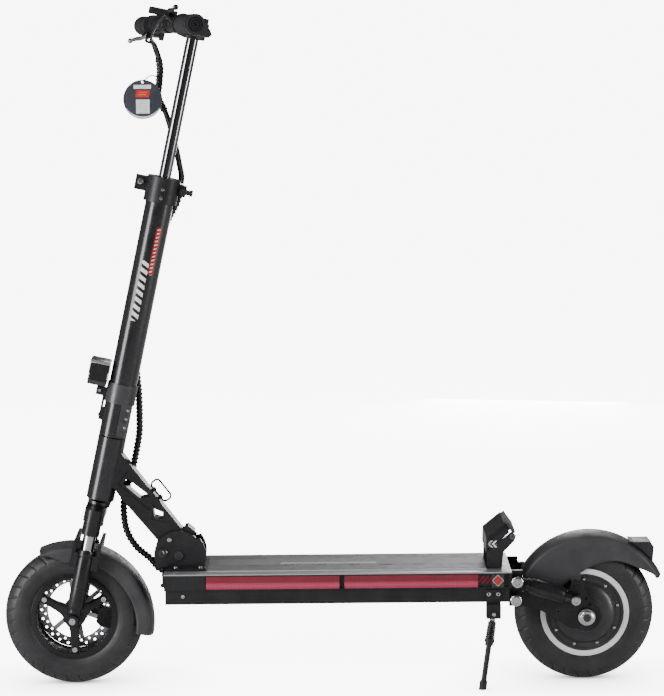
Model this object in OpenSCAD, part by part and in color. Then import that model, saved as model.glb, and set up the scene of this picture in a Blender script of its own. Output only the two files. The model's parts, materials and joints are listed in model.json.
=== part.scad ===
// Folding electric kick scooter. Millimetres, +Z up, riding direction -X, left side -Y.
// The ground is Z = 0 and the wheels stay in the plane Y = 0.

/* [Wheels] */
// Distance between the two axles
wheelbase = 932; // [780:1:1120]
// Outer diameter of both tyres
wheel_diameter = 254; // [212:1:305]
// Width of a tyre
tyre_width = 62; // [52:1:70]
// Diameter of the bead seat under a tyre
rim_diameter = 151; // [126:1:170]
// Diameter of the front brake disc
disc_diameter = 140; // [120:1:160]

/* [Deck] */
// Width of the deck
deck_width = 176; // [150:1:210]
// Height of the standing surface above the ground
deck_top = 216; // [190:1:250]
// Height of the upper deck frame
frame_height = 30; // [26:1:36]
// Height of the lower battery tray
tray_height = 25.8; // [20:0.2:32]
// Number of battery cells along the pack
battery_rows = 14; // [10:1:18]

/* [Stem] */
// Backward lean of the steering axis in degrees
stem_lean = 12.2; // [8:0.1:16]
// Outer diameter of the stem tube
stem_diameter = 50.5; // [44:0.5:60]
// Diameter of the sliding inner tube
inner_diameter = 22.5; // [20:0.5:28]
// Length of the head tube
head_length = 116; // [96:1:140]
// Length of the stem tube
stem_length = 448; // [370:1:540]
// Distance from the clamp up to the handlebar
bar_rise = 298; // [240:1:360]
// Travel of the front fork
fork_travel = 25; // [15:1:28]

/* [Handlebar] */
// Width over both grips
bar_width = 592; // [500:2:700]
// Diameter of the bar tubes
bar_diameter = 22.2; // [20:0.2:26]
// Diameter of a grip
grip_diameter = 34; // [30:0.5:38]
// Turn of the bar about the stem at rest in degrees
bar_turn = 11.4; // [0:0.2:15]
// Tilt of the bar in its head, right end low, in degrees
bar_tilt = 3.6; // [0:0.2:6]

/* [Hidden] */
$fn = 48;
gap = 0.3;
run = 0.05;
black = [0.07, 0.07, 0.075];
dark = [0.13, 0.13, 0.14];
grey = [0.42, 0.42, 0.44];
silver = [0.78, 0.78, 0.8];
red = [0.62, 0.05, 0.14];
white = [0.93, 0.93, 0.93];
rubber = [0.05, 0.05, 0.05];

// wheels
wheel_r = wheel_diameter / 2;
tyre_r = tyre_width / 2;
seat_r = rim_diameter / 2;
flange_r = seat_r + 4.7;
flange_y = 22;
front_x = -wheelbase / 2 - 6.6;
rear_x = front_x + wheelbase;
front_axle = [front_x, wheel_r];
rear_axle = [rear_x, wheel_r];
axle_r = 6;
motor_axle_r = 7;

// steering axis: local u across, s along
sin_l = sin(stem_lean);
cos_l = cos(stem_lean);
leg_u = -3;
axle_s = (wheel_r + leg_u * sin_l) / cos_l;
steer_x = front_x - leg_u * cos_l - axle_s * sin_l;
leg_y = 52;
leg_r = 14;
stanchion_r = 11.5;
leg_top = axle_s + wheel_r - 3;
crown_s = axle_s + wheel_r + 33;
crown_h = 48;
crown_top = crown_s + crown_h;
head_s = crown_top + 12;
head_top = head_s + head_length;
stem_r = stem_diameter / 2;
stem_wall = 3;
stem_s = head_top + 2;
stem_top = stem_s + stem_length;
clamp_h = 32;
clamp_top = stem_top + clamp_h;
inner_r = inner_diameter / 2;
bar_s = clamp_top + bar_rise - 30;
bar_fwd = 47;
bar_shift = bar_fwd * tan(bar_turn);
bar_r = bar_diameter / 2;
grip_r = grip_diameter / 2;
bar_end = bar_width / 2;
knuckle_y = 42;
left_reach = 34;
right_reach = -55;
steerer_r = 15;
cup_r = 21;

// deck
deck_front = front_x + 167.6;
deck_back = rear_x - 137.4;
deck_len = deck_back - deck_front;
half_w = deck_width / 2;
frame_z = deck_top - frame_height;
tray_z = frame_z - 0.2 - tray_height;
tray_half = half_w - 4;
wall = 7;
lid_t = 3;
mat_t = 1.6;

// folding joint
fold_x = deck_front + 25;
fold_z = deck_top + 23;
fold = [fold_x, fold_z];
bolt_r = 5;
fan_r = 45;
base_t = 4;
arm_half = 19;
plate_t = 7;
head_pt = to_world(18, head_s + 62);
arm_vec = head_pt - fold;
arm_len = norm(arm_vec);
arm_dir = arm_vec / arm_len;
arm_nrm = [arm_dir[1], -arm_dir[0]];

// top edge of the arm, from the head (t = 0) to the nose (t = 1), and the carry ring on it
arm_top_a = to_world(15.5, head_top - 19);
arm_top_b = fold + [7.5, 44.2];
edge_vec = arm_top_b - arm_top_a;
edge_tilt = atan2(-edge_vec[1], edge_vec[0]);
edge_len = norm(edge_vec);
ring_r = 1.6;
ring_t = 0.57;
ring_w = 46;
ring_h = 21;
ring_c = 8;

// rear suspension
pivot = [deck_back + 8, deck_top - 54];
guard_c = rear_axle + [11, 2.5];
rear_half = tyre_r + 6;
shock_top = [deck_back + 10.5, deck_top - 20];
shock_low = [rear_x - 21, wheel_r + 34];
shock_vec = shock_low - shock_top;
shock_len = norm(shock_vec);
shock_tilt = atan2(-shock_vec[1], shock_vec[0]);
arm_y = 52;
arm_t = 8;
cheek_y = arm_y + arm_t + 0.3;
cheek_t = 4;
shock_y = 75.5;
shock_r = 14.5;

// front mudguard and rear mudguard
guard_r = wheel_r + 23;
guard_half = tyre_r + 6;
rear_guard_r = wheel_r + 18;

// hang tag and cables
tag = to_world(-65, bar_s - 138);
tag_r = 35;
tag_y = -19.5; // off the middle, so that it passes the clamp's screws
hose_r = 5.5;
hose_z = deck_top - 14;
hose_y = 24;

// kickstand
stand_x = deck_back - 33;
stand_y = -tray_half - 4;
stand_z = tray_z - 19;
stand_lean = 8;

function to_world(u, s) = [steer_x + u * cos_l + s * sin_l, s * cos_l - u * sin_l];
function on_arm(t, n) = fold + t * arm_vec + n * arm_nrm;
function top_edge(t) = arm_top_a + t * edge_vec;
function xyz(p, y) = [p[0], y, p[1]];
function polar(r, a) = r * [cos(a), sin(a)];
function arc_pts(c, r, a0, a1, n) = [for (i = [0:n]) c + polar(r, a0 + (a1 - a0) * i / n)];
function stem_pt(u, y, s) = xyz(to_world(u, s), y);
function at_hub(r, w, a) = front_axle + [r * cos(a) - w * sin(a), r * sin(a) + w * cos(a)];
function bar_pt(x, y, z) = let (
    y1 = y * cos(bar_tilt) + z * sin(bar_tilt) + bar_shift,
    z1 = z * cos(bar_tilt) - y * sin(bar_tilt),
    x1 = x - bar_fwd)
    stem_pt(x1 * cos(bar_turn) - y1 * sin(bar_turn), x1 * sin(bar_turn) + y1 * cos(bar_turn), bar_s + z1);

// ---------- helpers ----------
module side_plate(pts, y0, y1) {
    translate([0, y1, 0])
        rotate([90, 0, 0])
            linear_extrude(y1 - y0)
                polygon(pts);
}

module y_rod(p, y0, y1, r) {
    translate([p[0], y0, p[1]])
        rotate([-90, 0, 0])
            cylinder(h = y1 - y0, r = r);
}

module both_sides() {
    children();
    mirror([0, 1, 0])
        children();
}

module on_stem(s = 0, u = 0) {
    translate([steer_x, 0, 0])
        rotate([0, stem_lean, 0])
            translate([u, 0, s])
                children();
}

module on_wheel(p) {
    translate([p[0], 0, p[1]])
        rotate([90, 0, 0])
            children();
}

// bar frame: y along the bar, x to the rear, z up the stem
module on_bar() {
    on_stem(bar_s)
        rotate([0, 0, bar_turn])
            translate([-bar_fwd, bar_shift, 0])
                rotate([-bar_tilt, 0, 0])
                    children();
}

// sweep of a round section along a list of points
function unit(v) = v / max(norm(v), 0.0001);
function tangent(p, i) = unit(p[min(i + 1, len(p) - 1)] - p[max(i - 1, 0)]);
function side_of(t) = unit(cross(t, abs(t[1]) < 0.9 ? [0, 1, 0] : [1, 0, 0]));
function ring_pts(p, i, r, n) = let (t = tangent(p, i), a = side_of(t), b = cross(t, a))
    [for (k = [0:n - 1]) p[i] + r * cos(360 * k / n) * a + r * sin(360 * k / n) * b];
function blend_pt(p, i, f) = let (
    a = p[max(i - 1, 0)], b = p[i], c = p[i + 1], d = p[min(i + 2, len(p) - 1)])
    0.5 * (2 * b + (c - a) * f + (2 * a - 5 * b + 4 * c - d) * f * f
    + (3 * b - a - 3 * c + d) * f * f * f);
function smooth(p, m) = concat(
    [for (i = [0:len(p) - 2]) for (k = [0:m - 1]) blend_pt(p, i, k / m)], [p[len(p) - 1]]);

module sweep(path, r, n = 10) {
    count = len(path);
    pts = [for (i = [0:count - 1]) each ring_pts(path, i, r, n)];
    sides = [for (i = [0:count - 2]) for (k = [0:n - 1])
        [i * n + k, (i + 1) * n + k, (i + 1) * n + (k + 1) % n, i * n + (k + 1) % n]];
    first = [for (k = [0:n - 1]) k];
    last = [for (k = [n - 1:-1:0]) (count - 1) * n + k];
    polyhedron(points = pts, faces = concat([first], sides, [last]));
}

module screw(r, h) {
    difference() {
        cylinder(h = h, r = r);
        translate([0, 0, h * 0.45])
            cylinder(h = h, r = r * 0.5);
    }
}

module y_screw(p, y, r, h) {
    flip = y < 0 ? 90 : -90;
    translate([p[0], y, p[1]])
        rotate([flip, 0, 0])
            screw(r, h);
}

module tyre_shape() {
    centre = wheel_r - tyre_r;
    difference() {
        translate([centre, 0])
            circle(tyre_r);
        translate([centre, 0])
            circle(tyre_r - 5);
        translate([0, -100])
            square([seat_r + 0.1, 200]);
        translate([0, flange_y - 0.2])
            square([flange_r + gap, 50]);
        translate([0, -50 - flange_y + 0.2])
            square([flange_r + gap, 50]);
        translate([0, flange_y + 3.8])
            square([flange_r + 1.3, 50]);
        translate([0, -53.8 - flange_y])
            square([flange_r + 1.3, 50]);
    }
}

module mudguard_shape(r, half, drop, t) {
    cr = 14;
    difference() {
        union() {
            translate([r - drop, -half])
                square([drop - cr, 2 * half]);
            translate([r - cr - 0.01, -half + cr])
                square([cr + 0.01, 2 * half - 2 * cr]);
            translate([r - cr, half - cr])
                circle(cr);
            translate([r - cr, -half + cr])
                circle(cr);
        }
        translate([r - drop - 20, -half + t])
            square([drop + 20 - cr, 2 * half - 2 * t]);
        translate([r - cr - 0.02, -half + cr])
            square([cr - t + 0.02, 2 * half - 2 * cr]);
        translate([r - cr, half - cr])
            circle(cr - t);
        translate([r - cr, -half + cr])
            circle(cr - t);
    }
}

// ---------- deck ----------
module deck_frame() {
    color(dark)
    difference() {
        union() {
            translate([deck_front, -half_w, frame_z])
                cube([deck_len, deck_width, frame_height]);
            // rear cheeks that carry the suspension bolts
            both_sides()
                translate([deck_back - 3, cheek_y, deck_top - 68])
                    cube([24, cheek_t, 66]);
        }
        translate([deck_front + 6, -half_w + wall, frame_z - 1])
            cube([deck_len - 12, deck_width - 2 * wall, frame_height - lid_t + 1]);
        // side channels for the light strips
        both_sides()
            translate([deck_front + 74, half_w - 4, frame_z + 2])
                cube([deck_len - 74 - 4, 5, frame_height - 6]);
        // charge socket and cable inlet in the front wall
        translate([deck_front - 1, -64, deck_top - 14])
            rotate([0, 90, 0])
                cylinder(h = 10, r = 7);
        translate([deck_front - 1, hose_y, hose_z])
            rotate([0, 90, 0])
                cylinder(h = 10, r = hose_r + 1.5);
        both_sides()
            y_rod(pivot, arm_y + arm_t, cheek_y + 6, bolt_r + run);
        both_sides()
            y_rod(shock_top, arm_y + arm_t, cheek_y + 6, bolt_r + run);
    }
}

module battery_tray() {
    color(black)
    difference() {
        translate([deck_front + 2, -tray_half, tray_z])
            cube([deck_len - 6, 2 * tray_half, tray_height + 0.2]);
        translate([deck_front + 5, -tray_half + 2.5, tray_z + 2.5])
            cube([deck_len - 12, 2 * tray_half - 5, tray_height]);
    }
}

module grip_mat() {
    color(grey)
    difference() {
        translate([deck_front + 78, -66, deck_top])
            cube([deck_len - 78 - 44, 158 - 12, mat_t]);
        for (i = [0:5])
            translate([deck_front + 150 + i * 60, -2 - 20, deck_top + mat_t - 0.6])
                cube([24, 5, 1]);
    }
}

module deck_screws() {
    color(silver) {
        for (x = [deck_front + 20, deck_front + 65])
            for (y = [-46, 46])
                translate([x, y, deck_top + base_t])
                    screw(4, 2.6);
        for (i = [0:4])
            both_sides()
                translate([deck_front + 20 + i * (deck_len - 40) / 4, tray_half - 10, tray_z])
                    mirror([0, 0, 1])
                        screw(3, 1.6);
        both_sides()
            y_screw([deck_front + 34, tray_z + 15], tray_half, 3.2, 2);
    }
}

module power_pack() {
    cell = 20.5;
    color([0.15, 0.35, 0.6]) {
        translate([deck_front + 200, -66, tray_z + 2.5 + gap])
            cube([battery_rows * cell, 132, 42]);
        translate([deck_front + 80, -45, tray_z + 2.5 + gap])
            cube([105, 90, 32]);
    }
}

module side_lights() {
    strip_z = frame_z + 2.4;
    strip_h = frame_height - 6.8;
    y0 = half_w - 3.9;
    first = deck_front + 76;
    last = deck_back - 30;
    strip_l = (last - first - 40) / 2;
    color(red)
    both_sides() {
        translate([first, y0, strip_z])
            cube([strip_l, 4.4, strip_h]);
        translate([first + strip_l + 9, y0, strip_z])
            cube([strip_l, 4.4, strip_h]);
        translate([last - 6, y0, strip_z])
            cube([22, 5.4, strip_h]);
    }
}

// ---------- folding joint ----------
module fan_plate(y0, y1) {
    outline = concat(
        arc_pts(fold, fan_r, 200, 45, 20),
        [fold + fan_r * [cos(44), sin(44)] - [2, 3]],
        arc_pts(fold, fan_r + 4.5, 38, -18, 8),
        [[fold_x + fan_r + 2, deck_top + 1], [fold_x - fan_r + 6, deck_top + 1]]);
    side_plate(outline, y0, y1);
}

module hinge_block() {
    color(black)
    difference() {
        union() {
            translate([deck_front + 3, -54, deck_top])
                cube([72, 108, base_t]);
            both_sides()
                fan_plate(arm_half + 1, arm_half + 1 + plate_t);
        }
        y_rod(fold, -60, 60, bolt_r + run);
        y_rod(fold + [-30, 5], -60, 60, 4);
        for (x = [deck_front + 20, deck_front + 65])
            for (y = [-46, 46])
                translate([x, y, deck_top - 1])
                    cylinder(h = 10, r = 2.2);
    }
}

module pivot_bolts() {
    edge = arm_half + 1 + plate_t;
    color(silver) {
        // fold pivot and the stop bolt in front of the arm
        y_rod(fold, -edge - 0.2, edge + 0.2, bolt_r);
        both_sides() {
            y_screw(fold, edge, 8, 3);
            y_screw(fold + [-30, 5], edge, 7.5, 4);
        }
        y_rod(fold + [-30, 5], -edge - 0.2, edge + 0.2, 4);
        // swing arm pivots and upper shock bolts
        both_sides() {
            y_rod(pivot, arm_y - 2, cheek_y + cheek_t + 0.2, bolt_r);
            y_screw(pivot, cheek_y + cheek_t, 11, 5);
            y_rod(shock_top, cheek_y - 0.2, shock_y + 9, bolt_r);
            y_rod(shock_top, cheek_y + cheek_t, cheek_y + cheek_t + 2.5, 8);
            y_screw(shock_top, shock_y + 8.4, 9, 4);
        }
    }
}

module folding_arm() {
    nose = fold + [7.5, 44.2];
    top_head = to_world(8, head_top - 19);
    low_head = to_world(8, head_s + 26);
    outline = concat(
        [top_head, to_world(15.5, head_top - 19), nose, fold + [15, 22], fold + [13.5, 2]],
        arc_pts(fold, 13.5, 0, -150, 12),
        [fold + [-24, 6], fold + [-36, 24], on_arm(0.741, -24), to_world(22, head_s + 26), low_head]);
    win_a = [on_arm(0.87, 6), on_arm(0.60, 21), on_arm(0.64, 4), on_arm(0.84, -6)];
    win_b = [on_arm(0.50, 12), on_arm(0.41, 22), on_arm(0.36, 14), on_arm(0.42, 4)];
    latch_eye = nose + [5, -6];
    color(black)
    difference() {
        union() {
            side_plate(outline, -arm_half, arm_half);
            y_rod(latch_eye, -6, 6, 6);
            side_plate([nose, latch_eye + [0, 6], latch_eye + [0, -6], nose + [2, -20]], -6, 6);
            // lugs of the carry ring
            for (k = [-1, 1])
                translate(xyz(top_edge(ring_t), 0))
                    rotate([0, edge_tilt, 0])
                        translate([k * 9 - 3, -4, -2])
                            cube([6, 8, 9.5]);
        }
        side_plate(win_a, -30, 30);
        side_plate(win_b, -30, 30);
        y_rod(fold, -30, 30, bolt_r + run);
        y_rod(latch_eye, -30, 30, 2.5 + run);
        on_stem(head_s - 10)
            cylinder(h = head_length + 60, r = stem_r + 0.02);
        both_sides()
            side_plate([on_arm(0.92, 14), on_arm(0.56, 32), on_arm(0.5, 4), on_arm(0.88, -14)],
                arm_half - 2, arm_half + 1);
        both_sides()
            side_plate([on_arm(0.53, 18), on_arm(0.40, 30), on_arm(0.32, 14), on_arm(0.42, -2)],
                arm_half - 2, arm_half + 1);
        both_sides()
            y_rod(latch_eye, 6.3, 40, 9.6);
        both_sides()
            side_plate([latch_eye + [-4.5, 7], latch_eye + [-2, 15], latch_eye + [21, 15],
                latch_eye + [21, -9], latch_eye + [-3, -9]], 6.3, 40);
        translate(xyz(top_edge(ring_t), 0))
            rotate([0, edge_tilt, 0])
                translate([-40, 0, 4])
                    rotate([0, 90, 0])
                        cylinder(h = 80, r = 2 * ring_r - 0.8);
    }
}

module loop_shape(w, h, c) {
    translate([c - w / 2, 0])
        square([w - 2 * c, h]);
    translate([-w / 2, c])
        square([w, h - 2 * c]);
    for (x = [c - w / 2, w / 2 - c])
        for (z = [c, h - c])
            translate([x, z])
                circle(c);
}

module carry_ring() {
    // wire loop: its lower run turns in the two lugs of the arm
    bar = 2 * ring_r;
    color(black)
    translate(xyz(top_edge(ring_t), 0))
        rotate([0, edge_tilt, 0])
            translate([0, ring_r, 4 - ring_r])
                rotate([90, 0, 0])
                    linear_extrude(bar)
                        difference() {
                            loop_shape(ring_w, ring_h, ring_c);
                            translate([0, bar])
                                loop_shape(ring_w - 2 * bar, ring_h - 2 * bar, ring_c - bar);
                        }
}

module fold_latch() {
    eye = fold + [12.5, 38.2];
    color(black)
    difference() {
        union() {
            side_plate([eye + [-3, 8], eye + [-1, 13], eye + [5, 14], eye + [17, 4],
                eye + [15.5, -1], eye + [7, 1], eye + [6, -5], eye + [-2, -6]], -arm_half + 2, arm_half - 2);
            y_rod(eye, -arm_half + 2, arm_half - 2, 6);
        }
        side_plate([eye + [-9, 12.5], eye + [9, 6.6], eye + [9, -12], eye + [-9, -12]], -6.4, 6.4);
    }
    color(silver)
    y_rod(eye, -arm_half + 1, arm_half - 1, 2.5);
}

// ---------- head and stem ----------
module head_tube() {
    color(dark)
    on_stem(head_s)
        difference() {
            cylinder(h = head_length, r = stem_r);
            translate([0, 0, -1])
                cylinder(h = head_length + 2, r = cup_r);
        }
}

module headset_rings() {
    color(silver)
    on_stem(head_s)
        for (z = [[-9, 14], [head_length - 14, 14]])
            translate([0, 0, z[0]])
                difference() {
                    union() {
                        cylinder(h = 23 - (z[0] < 0 ? 0 : 9), r = cup_r);
                        if (z[0] < 0)
                            cylinder(h = 9, r1 = 18, r2 = stem_r - 1);
                    }
                    translate([0, 0, -1])
                        cylinder(h = 30, r = steerer_r + run);
                }
}

module stem_tube() {
    color(black)
    on_stem(stem_s)
        difference() {
            cylinder(h = stem_length, r = stem_r);
            translate([0, 0, 26])
                cylinder(h = stem_length, r = stem_r - stem_wall);
            translate([0, 0, -1])
                cylinder(h = 40, r = steerer_r);
        }
}

module stem_collar() {
    color(grey)
    on_stem(stem_s) {
        difference() {
            translate([0, 0, 62])
                cylinder(h = 36, r = stem_r + 2.5);
            translate([0, 0, 61])
                cylinder(h = 40, r = stem_r + run);
        }
        // cheek plates with three bolts on each side
        both_sides()
            difference() {
                translate([6, stem_r - 9, 4])
                    cube([16, 11, 62]);
                translate([0, 0, 3])
                    cylinder(h = 80, r = stem_r + run);
            }
        both_sides()
            for (z = [16, 33, 48])
                translate([14, stem_r + 1.5, z])
                    rotate([-90, 0, 0])
                        screw(3, 1.6);
    }
}

module fork_crown() {
    color(black)
    difference() {
        union() {
            on_stem(crown_s)
                both_sides()
                    translate([leg_u, leg_y, 0])
                        cylinder(h = crown_h, r = leg_r + 2.5);
            on_stem(crown_s + 24)
                intersection() {
                    translate([leg_u - 18, -leg_y, 0])
                        cube([36, 2 * leg_y, crown_h - 24]);
                    translate([0, 0, -1])
                        cylinder(h = crown_h, r = leg_y + 6);
                }
            on_stem(crown_top - 1)
                cylinder(h = 3.6, r = 20);
            on_stem(crown_top - 1)
                cylinder(h = stem_s + 40 - crown_top, r = steerer_r);
        }
        on_stem(crown_s - 1)
            both_sides()
                translate([leg_u, leg_y, 0])
                    cylinder(h = crown_h - 5, r = stanchion_r);
    }
}

module stanchions() {
    color(silver)
    on_stem(axle_s + 64)
        both_sides()
            translate([leg_u, leg_y, 0])
                cylinder(h = crown_s + crown_h - 6 - axle_s - 64, r = stanchion_r);
}

module height_clamp() {
    r = stem_r + 5;
    color(black)
    on_stem(stem_top - 14)
        difference() {
            union() {
                cylinder(h = clamp_h + 14, r = r);
                translate([-r - 20, -11, 16])
                    cube([24, 22, clamp_h - 6]);
                translate([r - 6, -9, 18])
                    cube([18.5, 18, clamp_h - 12]);
            }
            translate([0, 0, -1])
                cylinder(h = 15, r = stem_r);
            translate([0, 0, 13.9])
                cylinder(h = clamp_h + 14, r = inner_r + run);
            // slot and bolt hole of the front block
            translate([-r - 30, -1, 14.5])
                cube([r + 30, 2, clamp_h + 14]);
            translate([-r - 10, 20, 32])
                rotate([90, 0, 0])
                    cylinder(h = 40, r = 3);
            translate([r + 8, -20, 27])
                rotate([-90, 0, 0])
                    cylinder(h = 40, r = 3 + run);
        }
    color(silver)
    on_stem(stem_top + 18, -r - 10) {
        translate([0, 13, 0])
            rotate([90, 0, 0])
                cylinder(h = 26, r = 3);
        both_sides()
            translate([0, 11, 0])
                rotate([-90, 0, 0])
                    screw(5, 4);
    }
}

module clamp_lever() {
    color(dark)
    on_stem(stem_top + 13, stem_r + 13) {
        translate([0, -13, 0])
            rotate([-90, 0, 0])
                cylinder(h = 26, r = 3);
        both_sides()
            translate([0, 9.3, 0])
                rotate([-90, 0, 0])
                    cylinder(h = 4, r = 7);
        both_sides()
            translate([0, 9.3, -3.5])
                cube([16, 4, 7]);
        translate([12, -13.3, -5])
            cube([5, 26.6, 10]);
    }
}

module inner_tube() {
    color(silver)
    on_stem(stem_top - 150)
        difference() {
            cylinder(h = bar_s - stem_top + 150 + 4, r = inner_r);
            translate([0, 0, -1])
                cylinder(h = bar_s - stem_top + 140, r = inner_r - 2);
        }
}

// ---------- lamp ----------
module lamp_bracket() {
    color(dark)
    on_stem(stem_s, -stem_r) {
        difference() {
            union() {
                translate([-6.5, -8, 26])
                    cube([14, 16, 22]);
                translate([-6.5, -8, 40])
                    cube([3.8, 16, 38]);
                both_sides()
                    translate([-20, 4.5, 70])
                        cube([17.3, 3.5, 14]);
            }
            translate([stem_r, 0, 0])
                cylinder(h = 61, r = stem_r + run);
            translate([-14, -20, 78])
                rotate([-90, 0, 0])
                    cylinder(h = 40, r = 2.5 + run);
        }
        translate([-6.5, 0, 34])
            rotate([0, -90, 0])
                screw(3.4, 2);
    }
}

module headlight() {
    color(black)
    on_stem(stem_s, -stem_r) {
        difference() {
            union() {
                translate([-40, -24, 88])
                    cube([36.8, 48, 42]);
                translate([-20, -4, 74])
                    cube([12, 8, 16]);
                translate([-14, -4, 78])
                    rotate([-90, 0, 0])
                        cylinder(h = 8, r = 6);
                translate([-38, -26, 130])
                    cube([36, 52, 4]);
            }
            translate([-41, -20, 92])
                cube([10, 40, 34]);
        }
        translate([-14, -9, 78])
            rotate([-90, 0, 0])
                cylinder(h = 18, r = 2.5);
    }
}

module headlight_lens() {
    color(white)
    on_stem(stem_s, -stem_r) {
        translate([-39, -19.7, 92.3])
            cube([3, 39.4, 33.4]);
        for (y = [-10, 10])
            translate([-36, y, 109])
                rotate([0, 90, 0])
                    cylinder(h = 5, r1 = 9, r2 = 4);
    }
}

// ---------- fork legs and front wheel ----------
module fork_lowers() {
    leg_len = leg_top - axle_s - 14;
    color(black)
    difference() {
        union() {
            on_stem(axle_s + 14)
                both_sides()
                    translate([leg_u, leg_y, 0]) {
                        cylinder(h = leg_len, r = leg_r - 1);
                        translate([0, 0, 30])
                            cylinder(h = leg_len - 30, r = leg_r);
                        translate([0, 0, -20])
                            intersection() {
                                cylinder(h = 26, r = leg_r - 1);
                                translate([-20, -7, 0])
                                    cube([40, 14, 26]);
                            }
                    }
            // bracket plates before and behind the legs
            on_stem(leg_top - 26)
                both_sides() {
                    translate([leg_u - leg_r - 12, leg_y - 12, 0])
                        cube([13, 22, 26]);
                    translate([leg_u - leg_r - 12, leg_y - 12, 0])
                        cube([6.5, 22, 48]);
                    translate([leg_u + leg_r - 1, leg_y - 12, 0])
                        cube([12, 22, 26]);
                    translate([leg_u + leg_r + 5, leg_y - 12, 0])
                        cube([6, 22, 48]);
                }
            // two bars over the mudguard
            on_stem(leg_top + 14)
                for (u = [leg_u - leg_r - 12, leg_u + leg_r + 5])
                    translate([u, -leg_y - 10, 0])
                        cube([6, 2 * leg_y + 20, 8]);
            // caliper bracket on the right leg
            side_plate([front_axle + [2, 30], front_axle + [14, 28], front_axle + [62, -4],
                front_axle + [60, -20], front_axle + [44, -20], front_axle + [6, 6]], leg_y - 6, leg_y + 2);
        }
        on_stem(axle_s + 34)
            both_sides()
                translate([leg_u, leg_y, 0])
                    cylinder(h = leg_len, r = stanchion_r + run);
        y_rod(front_axle, -90, 90, axle_r);
    }
}

module front_axle() {
    reach = leg_y + 7;
    color(silver) {
        y_rod(front_axle, -reach - 11, reach + 11, axle_r);
        both_sides()
            y_rod(front_axle, reach, reach + 8, 10);
        // spacers between the legs and the hub
        both_sides()
            y_rod(front_axle, 28.5, leg_y - 7, 9);
    }
}

module front_mudguard() {
    color(dark)
    union() {
        translate([front_x - 3, 0, wheel_r - 15])
            rotate([90, 0, 0])
                rotate([0, 0, -8])
                    rotate_extrude(angle = 121, $fn = 120)
                        mudguard_shape(guard_r, guard_half, 28, 2.2);
        // tab under the front bar of the fork
        on_stem(leg_top + 7.5)
            translate([leg_u - leg_r - 11, -8, 0])
                cube([4.5, 16, 6.5]);
    }
}

module brake_caliper() {
    turn = -14.5;
    r0 = disc_diameter / 2 - 30;
    r1 = disc_diameter / 2 + 9;
    body = [at_hub(r0, -12, turn), at_hub(r0 + 8, -18, turn), at_hub(r1, -18, turn),
        at_hub(r1, 18, turn), at_hub(r0 + 8, 18, turn), at_hub(r0, 12, turn)];
    bridge = [at_hub(r1 - 7, -18, turn), at_hub(r1, -18, turn), at_hub(r1, 18, turn),
        at_hub(r1 - 7, 18, turn)];
    color(black) {
        side_plate(body, leg_y - 25.2, leg_y - 19.6);
        side_plate(body, leg_y - 16.4, leg_y - 6);
        side_plate(bridge, leg_y - 25.2, leg_y - 6);
    }
    color(silver)
    for (w = [-9, 9])
        translate(xyz(at_hub(r0 + 18, w, turn), leg_y - 25.2))
            rotate([90, 0, 0])
                screw(3, 2);
}

module rim_profile(well) {
    polygon([
        [seat_r - 8.5, -flange_y - 4], [flange_r - 2, -flange_y - 4], [flange_r, -flange_y - 2.5],
        [flange_r, -flange_y], [seat_r, -flange_y], [seat_r, flange_y], [flange_r, flange_y],
        [flange_r, flange_y + 2.5], [flange_r - 2, flange_y + 4], [seat_r - 8.5, flange_y + 4],
        [seat_r - 4, flange_y], [seat_r - 4, -flange_y]]);
}

module front_rim() {
    color(black)
    on_wheel(front_axle)
        difference() {
            union() {
                rotate_extrude($fn = 120)
                    rim_profile();
                for (a = [30, 150, 270])
                    rotate([0, 0, a]) {
                        translate([10, -9, 8])
                            cube([seat_r - 12, 18, 14]);
                        translate([seat_r - 13.5, 0, 8])
                            cylinder(h = 14, r = 9);
                    }
                translate([0, 0, -25])
                    cylinder(h = 48, r = 21);
                translate([0, 0, -28])
                    cylinder(h = 56, r = 13);
            }
            translate([0, 0, -60])
                cylinder(h = 120, r = axle_r + run);
        }
}

module front_tyre() {
    color(rubber)
    on_wheel(front_axle)
        rotate_extrude($fn = 160)
            tyre_shape();
}

module brake_disc() {
    r = disc_diameter / 2;
    y0 = leg_y - 19;
    color(silver)
    translate([front_x, y0, wheel_r])
        rotate([-90, 0, 0])
            difference() {
                union() {
                    difference() {
                        cylinder(h = 2, r = r, $fn = 120);
                        translate([0, 0, -1])
                            cylinder(h = 4, r = r - 17, $fn = 96);
                    }
                    for (i = [0:5])
                        rotate([0, 0, i * 60 + 20])
                            translate([16, -4, 0])
                                cube([r - 30, 8, 2]);
                    cylinder(h = 2, r = 24);
                }
                translate([0, 0, -1])
                    cylinder(h = 4, r = 14);
                for (i = [0:23])
                    rotate([0, 0, i * 15]) {
                        translate([r - 5.5, 0, -1])
                            cylinder(h = 4, r = 2.4, $fn = 16);
                        rotate([0, 0, 7.5])
                            translate([r - 12, 0, -1])
                                cylinder(h = 4, r = 2.2, $fn = 16);
                    }
            }
    // hub adapter that carries the disc
    color(black)
    difference() {
        y_rod(front_axle, 25, y0, 20);
        y_rod(front_axle, 24, y0 + 1, 13);
    }
}

module front_wheel_bolts() {
    color(silver) {
        for (a = [30, 150, 270])
            y_screw(front_axle + (seat_r - 13) * [cos(a), sin(a)], -22, 4.6, 3);
        for (i = [0:5])
            y_screw(front_axle + 18.5 * [cos(i * 60), sin(i * 60)], leg_y - 17, 2.6, 2);
    }
}

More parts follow.
